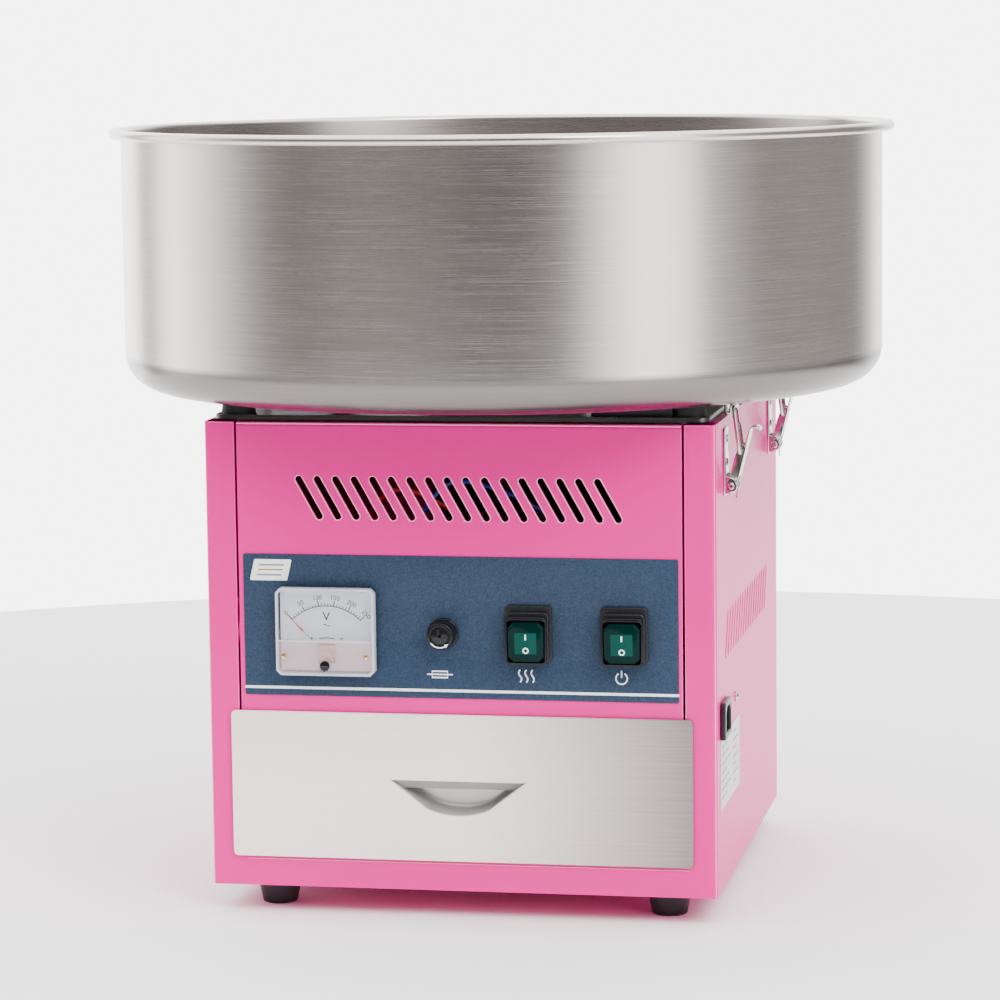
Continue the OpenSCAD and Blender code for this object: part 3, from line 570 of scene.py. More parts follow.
# Where a drawing's own x, y and height z go, for the side of the machine that it lies on
TO_PLANE = {
    "front": lambda x, y, z: (x, -z, y),
    "right": lambda x, y, z: (z, x, y),
    "top": lambda x, y, z: (x, y, z),
}
ACROSS = {"front": Vector((0, 1, 0)), "right": Vector((1, 0, 0)), "top": Vector((0, 0, 1))}


def slab(outlines, depth, look, level, plane="front", bevel=0.3, steps=2, sharp=40):
    """A plate with rounded edges: an outer outline, then its holes, in mm. depth is its whole thickness,
    and level is where the middle of the thickness lies on the axis across the plane."""
    curve = bpy.data.curves.new("outline", "CURVE")
    curve.dimensions = "2D"
    curve.fill_mode = "BOTH"
    curve.extrude = (depth / 2 - bevel) * MM
    curve.bevel_depth = bevel * MM
    curve.bevel_resolution = steps
    curve.offset = -bevel * MM
    for i, outline in enumerate(outlines):
        if (twice_area(outline) > 0) == (i > 0):
            outline = outline[::-1]
        spline = curve.splines.new("POLY")
        spline.points.add(len(outline) - 1)
        for point, (x, y) in zip(spline.points, outline):
            point.co = (x * MM, y * MM, 0, 1)
        spline.use_cyclic_u = True
    mesh = mesh_from_curve(curve)
    for vertex in mesh.vertices:
        vertex.co = Vector(TO_PLANE[plane](*vertex.co)) + ACROSS[plane] * level * MM
    return finish_mesh(mesh, look, sharp)


def tube(points, radius, look, closed=False, sides=12):
    """A round wire through points in mm."""
    curve = bpy.data.curves.new("wire", "CURVE")
    curve.dimensions = "3D"
    curve.bevel_depth = radius * MM
    curve.bevel_resolution = max(1, sides // 4 - 1)
    curve.use_fill_caps = True
    spline = curve.splines.new("POLY")
    spline.points.add(len(points) - 1)
    for point, spot in zip(spline.points, points):
        point.co = (*(Vector(spot) * MM), 1)
    spline.use_cyclic_u = closed
    return finish_mesh(mesh_from_curve(curve), look, 50)


def lettering(text, at, size, look, depth=0.08, turn=0.0):
    """Generic dial figures, facing the front."""
    curve = bpy.data.curves.new("figure", "FONT")
    curve.body = text
    curve.size = size * MM
    curve.align_x = "CENTER"
    curve.align_y = "CENTER"
    curve.extrude = depth * MM / 2
    mesh = mesh_from_curve(curve)
    swing = Matrix.Rotation(math.radians(turn), 3, "Z")
    for vertex in mesh.vertices:
        vertex.co = Vector(TO_PLANE["front"](*(swing @ vertex.co))) + Vector(at) * MM
    return finish_mesh(mesh, look, 40)


def bar(start, end, width, y, look="white_print", depth=0.12):
    """A straight printed stroke with round ends, on the front at depth y."""
    return slab([slot_points(start, end, width, 5)], depth, look, y, bevel=0.03, steps=1)


def stroke(points, width, y, look="white_print", closed=False):
    """A curved printed stroke of even width, on the front at depth y."""
    left, right = [], []
    count = len(points)
    for i, point in enumerate(points):
        ahead = points[(i + 1) % count] if closed or i + 1 < count else point
        behind = points[i - 1] if closed or i > 0 else point
        along = (Vector(ahead) - Vector(behind)).normalized()
        across = Vector((-along.y, along.x)) * width / 2
        left.append(tuple(Vector(point) + across))
        right.append(tuple(Vector(point) - across))
    outlines = [left + right[::-1]]
    if closed:
        outlines = sorted((left, right), key=lambda edge: abs(twice_area(edge)), reverse=True)
    return slab(outlines, 0.12, look, y, bevel=0.03, steps=1)


def join(parts):
    """One object from several. Each part keeps its own material."""
    work = bmesh.new()
    looks = []
    for part in parts:
        material = part.data.materials[0]
        if material not in looks:
            looks.append(material)
        start = len(work.faces)
        work.from_mesh(part.data)
        work.faces.ensure_lookup_table()
        for face in work.faces[start:]:
            face.material_index = looks.index(material)
    mesh = bpy.data.meshes.new("joined")
    work.to_mesh(mesh)
    work.free()
    for material in looks:
        mesh.materials.append(material)
    for part in parts:
        bpy.data.objects.remove(part)
    return new_object("joined", mesh)


def place(name, parts, body, slot, *replaced):
    """Makes one piece of its parts and puts it on its body."""
    piece = join(parts) if len(parts) > 1 else parts[0]
    piece.name = name
    piece.data.name = name
    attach(piece, body)
    if replaced:
        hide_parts(*replaced)


def place_fine(node, parts, body, slot):
    """A detailed piece in place of the CAD node of the same name."""
    place(node + "_fine", parts, body, slot, node)


# ---------- bowl ----------

BOWL_HOLE = 104
BOWL_CORNER = 24
BOWL_SHEET = 1.2
BOWL_BEAD = 3.1


def make_bowl():
    """The bowl as one spun sheet: floor hole with an upturned lip, soft corner, wall and rolled rim."""
    low, high = box_mm("bowl")
    rim_r, top, floor = high.x, high.z, low.z
    wall_r = rim_r - 8
    hole, corner, sheet, bead = BOWL_HOLE, BOWL_CORNER, BOWL_SHEET, BOWL_BEAD
    outer = [(hole, floor + 4.5), (hole, floor + 1.5)]
    outer += arc(hole + 1.5, floor + 1.5, 1.5, 180, 270, 4)
    outer += arc(wall_r - corner, floor + corner, corner, 270, 360, 16)
    outer += [(wall_r, floor + corner + k * 14) for k in range(1, 9)]
    outer += arc(wall_r + 1.6, top - 3.2, 1.6, 180, 95, 5)
    outer += [(rim_r - bead - 0.2, top - 1.5)]
    outer += arc(rim_r - bead, top - bead, bead - 1.3, 80, -60, 6)
    rim = arc(rim_r - bead, top - bead, bead, -75, 90, 12)
    inner = [(wall_r + 2.2, top)] + arc(wall_r + 1.6, top - 2.8, 2.8, 100, 180, 6)
    inner += [(wall_r - sheet, floor + corner + k * 14) for k in range(8, 0, -1)]
    inner += arc(wall_r - corner, floor + corner, corner - sheet, 360, 270, 16)
    inner += arc(hole + 1.7, floor + 1.8, 0.6, 270, 180, 3) + [(hole + 1.1, floor + 4.5)]
    inner += arc(hole + 0.55, floor + 4.5, 0.55, 0, 180, 4)
    bowl = lathe(outer + rim + inner, "bowl_steel", steps=256)
    # Inward and upward faces below the rim take the darker copy of the steel: painted shade.
    bowl.data.materials.append(LIBRARY["bowl_inside_painted_shade"])
    for face in bowl.data.polygons:
        spot = face.center / MM
        inward = Vector((spot.x, spot.y, 0)).normalized().dot(face.normal) < 0
        if spot.z < top - bead * 2 and (inward or face.normal.z > 0.2):
            face.material_index = 1
    place("bowl_shell", [bowl], "bowl", "stainless", "bowl", "bowl_floor")


# ---------- cabinet trim ----------

LABEL_LOW, LABEL_HIGH = box_mm("control_label")
PANEL_Y = LABEL_HIGH.y
LABEL_Y = LABEL_LOW.y
CONTROLS_Z = middle_mm("meter_case").z
SIDE_X = box_mm("body_shell")[1].x
METER = middle_mm("meter_cover")
FUSE = middle_mm("fuse_cap")
HEAT = middle_mm("switch_body_heat")
POWER = middle_mm("switch_body_power")

VENTS = 17
VENT_EDGE_W = 5.25
VENT_LEAN = 13
FRONT_VENTS = dict(first=-102.4, top=281.6, drop=23.4, pitch=12, lean=VENT_LEAN)
SIDE_VENTS = dict(first=-107, top=192, drop=26, pitch=12.9, lean=-VENT_LEAN)


def vent_outlines(first, top, drop, pitch, lean):
    """Middle line of the rounded edge of each slot."""
    starts = [first + i * pitch for i in range(VENTS)]
    return [slot_points((start, top), (start + lean, top - drop), VENT_EDGE_W) for start in starts]


def make_vent_edges():
    """The rounded edge round every slot, in a lighter, glossier pink: a painted highlight on a real rounded
    edge.
    """
    runs = [[(x, PANEL_Y + 0.2, z) for x, z in outline] for outline in vent_outlines(**FRONT_VENTS)]
    for side in (-1, 1):
        x = side * (SIDE_X - 0.2)
        runs += [[(x, y, z) for y, z in outline] for outline in vent_outlines(**SIDE_VENTS)]
    beads = [tube(run, 0.4, "pink_edge", closed=True, sides=8) for run in runs]
    place("vent_edge_highlights", beads, "cabinet", "pink_paint")


def make_fold_edges():
    """Rounded edges where the front sheets are folded over, down the front corners and under the drawer, in a
    lighter, glossier pink: painted highlights along real edges.
    """
    low, high = box_mm("body_shell")
    panel_low, panel_high = box_mm("front_panel")
    drawer_low, drawer_high = box_mm("drawer_front")
    y, top = low.y, high.z
    beads = []
    for start, end, inset in (
            (low.x + 3.2, panel_low.x - 1.7, 0.75),
            (panel_low.x + 0.2, panel_high.x - 0.2, 0.95),
            (panel_high.x + 1.7, high.x - 3.2, 0.75)):
        beads.append(tube([(start, y + inset, top - inset), (end, y + inset, top - inset)], 0.8, "pink_edge"))
    for x, bottom, gap in ((panel_low.x - 1.85, 38, 1), (panel_high.x - 0.35, panel_low.z + 1, 3),
                           (panel_high.x + 1.85, 38, 1)):
        beads.append(tube([(x, y + 0.35, bottom), (x, y + 0.35, top - gap)], 0.4, "pink_edge"))
    z = drawer_low.z - 1.9
    beads.append(tube([(drawer_low.x + 9, y - 0.05, z), (drawer_high.x - 3, y - 0.05, z)], 0.4, "pink_edge"))
    for x in (low.x + 1.3, high.x - 1.3):
        beads.append(tube([(x, y + 1.3, low.z + 0.5), (x, y + 1.3, top - 0.5)], 0.75, "pink_edge"))
    place("fold_edge_highlights", beads, "cabinet", "pink_paint")


def make_dust_filter():
    """A dark pad inside the back panel, behind its vents: painted shade that keeps the slots dark inside."""
    back = box_mm("back_panel")[0].y
    pad = slab([rounded_rect(0, 205, 166, 104, 3)], 3, "rubber", back - 1.9, bevel=0.4)
    place("back_vent_shade", [pad], "cabinet", "black_rubber")


SIGN_Z = 158
BADGE_LEFT, BADGE_RIGHT = -135.4, -111
BADGE_BOTTOM, BADGE_TOP = 216.6, 230.2
BADGE_LEAN = 3.2


def make_label():
    """Printed film with its holes, a white line and a pictogram under each control."""
    low, high = LABEL_LOW, LABEL_HIGH
    size = high - low
    middle = (low + high) / 2
    holes = [ring_points(METER.x, METER.z, 26.2), ring_points(FUSE.x, FUSE.z, 6.3)]
    holes += [rounded_rect(spot.x, CONTROLS_Z - 2, 26, 30, 1) for spot in (HEAT, POWER)]
    outlines = [rounded_rect(middle.x, middle.z, size.x, size.z, 1.2)] + holes
    film = slab(outlines, size.y, "label_film", middle.y, bevel=0.12)
    place("label_film", [film], "cabinet", "label_film", "control_label")
    y = low.y - 0.03
    marks = [bar((low.x + 0.5, low.z + 5), (high.x - 0.5, low.z + 5), 1.7, y)]
    marks += fuse_sign(FUSE.x - 2.5, SIGN_Z, y)
    marks += heat_sign(HEAT.x - 1.8, SIGN_Z, y)
    marks += power_sign(POWER.x - 2.0, SIGN_Z, y)
    place("label_print", marks, "cabinet", "white_plastic")


def make_badge():
    """A plain slanted plate with three bars."""
    front = LABEL_Y
    corners = [(BADGE_LEFT, BADGE_BOTTOM), (BADGE_RIGHT, BADGE_BOTTOM),
               (BADGE_RIGHT + BADGE_LEAN, BADGE_TOP), (BADGE_LEFT + BADGE_LEAN, BADGE_TOP)]
    parts = [slab([rounded_profile([(x, z, 0.8) for x, z in corners])], 0.5, "white_print", front - 0.25,
                  bevel=0.15)]
    for k, look in enumerate(("grey_print", "gold", "grey_print")):
        x, z = k * 0.9, BADGE_BOTTOM + 3.6 + k * 3.2
        parts.append(bar((BADGE_LEFT + 5 + x, z), (BADGE_RIGHT - 4 + x, z), 1.1, front - 0.55, look))
    place("badge", parts, "cabinet", "white_plastic")


def fuse_sign(x, z, y):
    box = [(x - 5, z - 2), (x + 5, z - 2), (x + 5, z + 2), (x - 5, z + 2)]
    return [stroke(box, 0.9, y, closed=True), bar((x - 8, z), (x + 8, z), 0.8, y - 0.02)]


def wave(x, z, across, tall, steps=12):
    """Points of one upright wave."""
    return [(x + across * math.sin(t / steps * 2 * math.pi), z + tall * t / steps) for t in range(steps + 1)]


def heat_sign(x, z, y):
    return [stroke(wave(x + 4 * k, z - 4, 0.9, 8), 0.9, y) for k in (-1, 0, 1)]


def power_sign(x, z, y):
    return [stroke(arc(x, z - 0.3, 3.6, 120, 420, 24), 0.9, y), bar((x, z + 0.6), (x, z + 4.4), 0.9, y)]


RATING_BACK, RATING_FRONT = -52, -147
RATING_BOTTOM, RATING_TOP = 70, 116


def make_rating_label():
    """A blank rating label: silver film with rows of grey bars in place of print."""
    outline = rounded_rect((RATING_FRONT + RATING_BACK) / 2, (RATING_BOTTOM + RATING_TOP) / 2,
                           RATING_BACK - RATING_FRONT, RATING_TOP - RATING_BOTTOM, 1.5)
    parts = [slab([outline], 0.25, "silver_label", SIDE_X + 0.13, "right", bevel=0.08, steps=1)]
    for k in range(7):
        z = RATING_TOP - 6 - k * 5.4
        for start, end in ((5, 30 + 9 * (k * 7 % 3)), (62, 74 + 8 * (k * 5 % 2))):
            row = slot_points((RATING_FRONT + start, z), (RATING_FRONT + end, z), 1.3, 3)
            parts.append(slab([row], 0.1, "grey_print", SIDE_X + 0.29, "right", bevel=0.03, steps=1))
    place("rating_label", parts, "cabinet", "white_plastic")


# ---------- voltmeter ----------

METER_LOW, METER_HIGH = box_mm("meter_cover")
METER_W, METER_H = METER_HIGH.x - METER_LOW.x, METER_HIGH.z - METER_LOW.z
METER_FRONT = METER_LOW.y
METER_SPLIT = METER.z - METER_H / 2 + 22.4
PIVOT = Vector((METER.x, 0, CONTROLS_Z - 14.4))
ZERO = Vector((METER.x, 0, CONTROLS_Z - 21.5))
DIAL_Y = box_mm("meter_dial")[0].y
DIAL_R = 30.6
DIAL_TURN = 45
SCALE_TOP = 250
SCALE_STEP = 10
FIGURE_STEP = 50


def dial_turn(value):
    """Degrees from upright of a value on the scale."""
    return DIAL_TURN * (2 * value / SCALE_TOP - 1)


def dial_spot(value, radius):
    turn = math.radians(dial_turn(value))
    return PIVOT.x + radius * math.sin(turn), PIVOT.z + radius * math.cos(turn)


def make_meter_cover():
    """Moulded walls, a clear window above the split line and a ribbed screen below it."""
    w, h = METER_W, METER_H
    back = LABEL_Y - 1.6
    outlines = [chamfered(METER.x, METER.z, w - inset, h - inset, cut, 0.6)
                for inset, cut in ((0, 3), (3.4, 2.2))]
    walls = slab(outlines, back - METER_FRONT - 0.1, "moulded_clear", (back + METER_FRONT) / 2, bevel=0.7,
                 steps=3)
    top, bottom = METER.z + h / 2 - 1.9, METER.z - h / 2 + 1.9
    window = slab([rounded_rect(METER.x, (METER_SPLIT + top) / 2, w - 3.6, top - METER_SPLIT, 1)], 1.2,
                  "clear_plastic", METER_FRONT + 0.9, bevel=0.25)
    pane = rounded_rect(METER.x, (METER_SPLIT + bottom) / 2, w - 3.6, METER_SPLIT - bottom - 0.2, 1)
    screen = slab([pane, ring_points(PIVOT.x, ZERO.z, 2.7, 24)], 1.5, "ribbed_clear", METER_FRONT + 0.95)
    lip = slab([rounded_rect(METER.x, METER_SPLIT - 0.2, w - 4, 1.1, 0.5)], 1.9, "moulded_clear",
               METER_FRONT + 0.95, bevel=0.4)
    place("meter_cover_clear", [walls, window, screen, lip], "cabinet", "clear_plastic", "meter_cover")


def make_dial():
    """White card with a scale, its figures, the unit and the sign for alternating current."""
    opening = rounded_rect(PIVOT.x, PIVOT.z, 11, 12, 0.5)
    card = slab([rounded_rect(METER.x, METER.z, METER_W - 5, METER_H - 5, 1), opening], 0.8, "dial_card",
                DIAL_Y + 0.4, bevel=0.15)
    place("dial_card", [card], "cabinet", "white_plastic", "meter_dial")
    ink = DIAL_Y - 0.04
    values = range(0, SCALE_TOP + 1, SCALE_STEP)
    marks = [stroke([dial_spot(value, DIAL_R) for value in values], 0.5, ink, "black_print_and_recess_shade")]
    for value in values:
        reach, width = (3.4, 0.6) if value % FIGURE_STEP == 0 else (1.5, 0.42)
        ends = dial_spot(value, DIAL_R), dial_spot(value, DIAL_R + reach)
        marks.append(bar(*ends, width, ink, "black_print_and_recess_shade"))
        if value % FIGURE_STEP == 0:
            x, z = dial_spot(value, DIAL_R + 5.4)
            marks.append(lettering(str(value), (x, ink, z), 4.2, "black_print_and_recess_shade", turn=-dial_turn(value)))
    marks.append(lettering("V", (PIVOT.x, ink, METER.z + 9.2), 8, "black_print_and_recess_shade"))
    sign = [(PIVOT.x - 2 + z, METER.z + 3.9 + x) for x, z in wave(0, 0, 0.55, 4)]
    marks.append(stroke(sign, 0.5, ink, "black_print_and_recess_shade"))
    for x in (-9.6, 9.6):
        rivet = ring_points(PIVOT.x + x, METER_SPLIT + 0.9, 0.6, 16)
        marks.append(slab([rivet], 0.5, "black_gloss", ink, bevel=0.15))
    slit = [(PIVOT.x + x, METER_SPLIT + z) for x, z in ((-5, 0.9), (0, 1.3), (5, 0.9))]
    marks.append(stroke(slit, 0.5, ink, "black_gloss"))
    place("dial_print", marks, "cabinet", "white_plastic")


def make_meter_metal():
    """The coil's face behind the dial, and the two screws in the cover."""
    ring = rounded_profile([(1.5, 0, 0), (5.4, 0, 0), (5.4, 0.9, 0.4), (1.5, 0.9, 0.3)])
    coil = lathe(ring, "gold", steps=48, turn=turned((PIVOT.x, DIAL_Y - 0.1, PIVOT.z - 0.6), 90, "X"))
    place("coil_face", [coil], "cabinet", "copper")
    for name, side in (("meter_screw_left", -1), ("meter_screw_right", 1)):
        x, z = METER.x + side * 26.6, PIVOT.z - 1
        seat = lathe([(0.02, 0.9), (1.5, 0.75), (1.75, 0.3), (1.75, -1.2), (0.02, -1.2)], "gold", steps=24,
                     turn=turned((x, METER_FRONT, z), 90, "X"))
        rise = 0.8 * side
        # The slot is a black mark on the head: painted shade for its recess.
        cut = bar((x - 1.1, z - rise), (x + 1.1, z + rise), 0.5, METER_FRONT - 0.86, "black_print_and_recess_shade")
        place(name, [seat, cut], "cabinet", "zinc")


def make_needle():
    """Red pointer whose inner part is a fine grey wire, on a small hub."""
    y = box_mm("meter_needle")[0].y + 0.3
    tip, knee = Vector(dial_spot(0, 33.6)), Vector(dial_spot(0, 20.5))
    hub = Vector((PIVOT.x, PIVOT.z))
    side = Vector((tip.y - hub.y, hub.x - tip.x)).normalized() * 0.6
    blade = [tuple(tip), tuple(knee + side), tuple(knee - side)]
    pointer = slab([blade], 0.3, "needle_red", y, bevel=0.05, steps=1)
    wire = bar(tuple(knee), tuple(hub), 0.3, y, "grey_print", 0.25)
    boss = lathe([(0.02, 0.3), (1.9, 0.3), (2.1, 0.1), (2.1, -0.3), (0.02, -0.3)], "zinc", steps=32,
                 turn=turned((hub.x, y, hub.y), 90, "X"))
    place("needle_fine", [pointer, wire, boss], "meter_needle", "needle_red", "meter_needle")


def make_zero_screw():
    front = box_mm("meter_zero_screw")[0].y
    outline = [(0.02, 0), (1.9, -0.05), (2.9, -0.45), (3.25, -1.1), (3.25, -1.55), (2.45, -1.7), (2.45, -3.4),
               (0.02, -3.4)]
    head = lathe(outline, "black_gloss", steps=48, turn=turned((ZERO.x, front, ZERO.z), 90, "X"))
    slot = bar((ZERO.x - 2, ZERO.z), (ZERO.x + 2, ZERO.z), 0.6, front, "black_print_and_recess_shade")
    place("zero_screw_fine", [head, slot], "meter_zero_screw", "black_plastic", "meter_zero_screw")


# ---------- fuse and rocker switches ----------

CAP_FRONT = 11.6
CAP_RIDGES = 24
ROCKER_TILT = 6
ROCKER_HALF_W = 11.5
ROCKER_R = 13.3
ROCKER_CUT = 3.4


def fuse_spot(radius, degrees):
    t = math.radians(degrees)
    return FUSE.x + radius * math.cos(t), FUSE.z + radius * math.sin(t)


def make_fuse_holder():
    out = turned((FUSE.x, LABEL_Y, FUSE.z), 90, "X")
    flange = rounded_profile([(6.95, 0.05, 0), (10, 0.05, 0), (10, 2, 0.9), (6.95, 2, 0.4)])
    parts = [lathe(flange, "black_gloss", steps=64, turn=out)]
    for inside, back, front in ((5.3, -36, 1.8), (0.02, -38, -36)):
        outline = [(inside, back), (6, back), (6, front), (inside, front)]
        parts.append(lathe(outline, "black_plastic", steps=48, turn=out))
    nut = [arc(FUSE.x, FUSE.z, 10, 0, 300, 5), ring_points(FUSE.x, FUSE.z, 6.1)]
    parts.append(slab(nut, 3.5, "black_plastic", LABEL_Y + 4.25, bevel=0.4))
    place_fine("fuse_holder", parts, "cabinet", "black_plastic")


def make_fuse_cap():
    """Ribbed screw cap with a recessed face, a cross slot and a printed arrow."""
    out = turned((FUSE.x, LABEL_Y, FUSE.z), 90, "X")
    front = CAP_FRONT
    outline = rounded_profile([(5.25, 2.5, 0), (9, 2.5, 0.4), (8.4, front, 1.1), (6.3, front, 0.25),
                               (6.1, front - 0.7, 0.2), (5.5, front - 0.7, 0.2), (5.3, front, 0.25),
                               (0.02, front, 0), (0.02, front - 3.5, 0), (5.25, front - 3.5, 0)], 4)
    parts = [lathe(outline, "black_gloss", steps=72, turn=out)]
    for foot, tip in zip(ring_points(0, 0, 8.85, CAP_RIDGES), ring_points(0, 0, 8.45, CAP_RIDGES)):
        line = [out @ Vector((*foot, 3.4)), out @ Vector((*tip, 9.8))]
        parts.append(tube(line, 0.32, "black_gloss", sides=8))
    face = LABEL_Y - front
    parts += [bar(fuse_spot(-3.6, a), fuse_spot(3.6, a), 1.7, face, "black_plastic", 0.2) for a in (20, 110)]
    parts.append(stroke(arc(FUSE.x, FUSE.z, 7.3, 218, 300, 12), 0.75, face - 0.04))
    tip = [fuse_spot(7.3 * k, a) for a, k in ((298, 0.84), (298, 1.16), (318, 1.0))]
    parts.append(slab([tip], 0.12, "white_print", face - 0.04, bevel=0.03, steps=1))
    place_fine("fuse_cap", parts, "fuse_cap", "black_plastic")


def make_switch(node, rocker_node, x):
    """Stepped black bezel with a splash collar round a chamfered green rocker."""
    z = CONTROLS_Z
    rocker_z = z - 3.7
    cavity = rounded_rect(x, rocker_z, 23.7, 27.3, 2)
    parts = []
    for drop, w, h, r, depth, out, bevel, look in (
            (0, 30.4, 36.5, 3.4, 2.6, 1.3, 0.9, "black_plastic"),
            (1.6, 27.6, 32.6, 3.2, 4.4, 4.2, 1.0, "black_plastic"),
            (2.6, 26.2, 30.2, 3.2, 5.0, 8.6, 0.9, "black_gloss")):
        outlines = [rounded_rect(x, z - drop, w, h, r), cavity]
        parts.append(slab(outlines, depth, look, LABEL_Y - out, bevel=bevel, steps=3))
    parts.append(slab([rounded_rect(x, z - 2, 25.6, 29.6, 1)], 20, "black_plastic", LABEL_Y + 16, bevel=0.5))
    parts += [slab([rounded_rect(x + dx, z - 2, 0.8, 6.3, 0.3)], 9, "zinc", LABEL_Y + 30.5, bevel=0.1)
              for dx in (-8, 0, 8)]
    place_fine(node, parts, "cabinet", "black_plastic")

    pivot = (x, LABEL_Y - 7, rocker_z)
    prints = [([rounded_rect(0, 0, 14, 14, 0.8)], 5.06, "green_light"),
              ([slot_points((0, 2.6), (0, 5.6), 0.9, 5)], 5.2, "white_print"),
              ([ring_points(0, -4.6, 2.0, 32), ring_points(0, -4.6, 1.15, 32)], 5.2, "white_print")]
    parts = [slab(outlines, 0.16, look, -out, bevel=0.05, steps=1) for outlines, out, look in prints]
    parts.insert(0, rocker_mesh())
    for part in parts:
        shift(part, turned(pivot, ROCKER_TILT, "X"))
    pin = lathe([(0.02, -12.3), (1, -12.3), (1, 12.3), (0.02, 12.3)], "green_dark", steps=24,
                turn=turned(pivot, 90, "Y"))
    place_fine(rocker_node, parts + [pin], rocker_node, "green_lens")


def rocker_mesh():
    """Chamfered block whose ends are arcs round its pivot, narrowing towards its face."""
    rows = []
    for depth, inset in ((5.6, 0), (0, 0), (-3.9, 0), (-4.7, 0.35), (-5.0, 1.0)):
        reach = math.sqrt(ROCKER_R ** 2 - depth * depth) - inset
        cut = ROCKER_CUT if depth < 5 else ROCKER_CUT * 0.6
        loop = chamfered(0, 0, 2 * (ROCKER_HALF_W - inset), 2 * reach, cut, 0.8, first=1)
        rows.append([(x, depth, z) for x, z in loop])
    count = len(rows[0])
    faces = skin(len(rows), count)
    faces += [tuple(range(count)), tuple(range((len(rows) - 1) * count, len(rows) * count))]
    return add_mesh([p for row in rows for p in row], faces, "green_dark", 30)


def skin(rows, count, closed=True):
    """Faces between neighbouring rows of points, each row a closed loop unless told otherwise."""
    faces = []
    for here in range(0, (rows - 1) * count, count):
        for i in range(count if closed else count - 1):
            after = (i + 1) % count
            faces.append((here + i, here + after, here + count + after, here + count + i))
    return faces


# ---------- drawer ----------

PULL_X = -1.5
PULL_TOP = 89.4
PULL_HALF = 43.5
PULL_DEEP = 18
PULL_SHEET = 0.6
FLANK_DROP = 18.0
FOOT_HALF = 20.0
FOOT_SAG = 4.0
FOOT_R = (FOOT_HALF ** 2 + FOOT_SAG ** 2) / (2 * FOOT_SAG)


def pull_bottom(x):
    """Height of the recess's lower edge at x: straight flanks, and a shallow arc between them."""
    off = abs(x - PULL_X)
    if off > FOOT_HALF:
        return PULL_TOP - FLANK_DROP * (PULL_HALF - off) / (PULL_HALF - FOOT_HALF)
    return PULL_TOP - FLANK_DROP - FOOT_SAG + FOOT_R - math.sqrt(FOOT_R ** 2 - off ** 2)


def pull_outline(steps=40):
    xs = [PULL_X - PULL_HALF + 2 * PULL_HALF * i / steps for i in range(steps + 1)]
    return [(x, pull_bottom(x)) for x in xs]


def make_drawer_front():
    """The brushed plate, and the stiffener behind it."""
    low, high = box_mm("drawer_front")
    middle, size = (low + high) / 2, high - low
    outlines = [rounded_rect(middle.x, middle.z, size.x, size.z, 3.2, 8), pull_outline()]
    plate = slab(outlines, 1.5, "drawer_steel", low.y + 0.75, bevel=0.5, steps=3, sharp=10)
    outlines = [rounded_rect(0, 72, 280, 59, 2), pull_outline()]
    stiffener = slab(outlines, 4.9, "galvanised", low.y + 4, bevel=0.4, sharp=10)
    place_fine("drawer_front", [plate, stiffener], "drawer", "stainless")


def thicken(part):
    """Gives a sheet its thickness, behind its faces."""
    sheet = part.modifiers.new("thickness", "SOLIDIFY")
    sheet.thickness = PULL_SHEET * MM
    mesh = mesh_from(part)
    part.modifiers.clear()
    part.data = mesh


def make_pull():
    """Finger pull: a straight-sided pocket with a rounded foot, and a flap bent in along its top edge."""
    front = box_mm("drawer_front")[0].y
    across = 60
    rows = []
    for i in range(across + 1):
        x = PULL_X - (PULL_HALF - 0.2) * math.cos(math.pi * i / across)
        z = pull_bottom(x) + 0.2
        tall = PULL_TOP - 0.3 - z
        bend = min(5, tall * 0.6)
        line = [(x, front - 0.1, z - 0.15), (x, front + 0.2, z), (x, front + 1, z + 0.05)]
        line += [(x, front + 1 + (PULL_DEEP - bend - 1) * k / 4, z + 0.05) for k in range(1, 5)]
        line += [(x, y, h) for y, h in arc(front + PULL_DEEP - bend, z + 0.05 + bend, bend, 270, 360, 8)[1:]]
        line += [(x, front + PULL_DEEP, z + bend + (tall - bend) * k / 4) for k in range(1, 5)]
        rows.append(line)
    faces = [(a, d, c, b) for a, b, c, d in skin(len(rows), len(rows[0]), closed=False)]
    scoop = add_mesh([p for row in rows for p in row], faces, "pull_steel", 60)
    thicken(scoop)
    profile = [(0.1, 0, 1), (0.5, 0.25, 1.2), (1.1, 0.9, 1.8), (2.2, 2.4, 3.4), (3.6, 4.6, 5.9),
               (4.0, 5.4, 6.9)]
    points = [(PULL_X + side * (PULL_HALF - taper), front + y, PULL_TOP - drop)
              for y, drop, taper in profile for side in (-1, 1)]
    flap = add_mesh(points, skin(len(profile), 2, closed=False), "pull_steel", 60)
    thicken(flap)
    place_fine("drawer_pull", [scoop, flap], "drawer", "stainless")


# ---------- latches ----------

LATCHES = [("fr", 1, -118), ("br", 1, 118), ("left", -1, 0)]
LEVER_LEAN = 14
LATCH_PIVOT = Vector((169, 0, 275.5))
BAIL_REACH = 22
BAIL_BAR = Vector((170.6, 0, 325.6))
BASE_LOW, BASE_HIGH = 269, 312
COIL_STEPS = 36


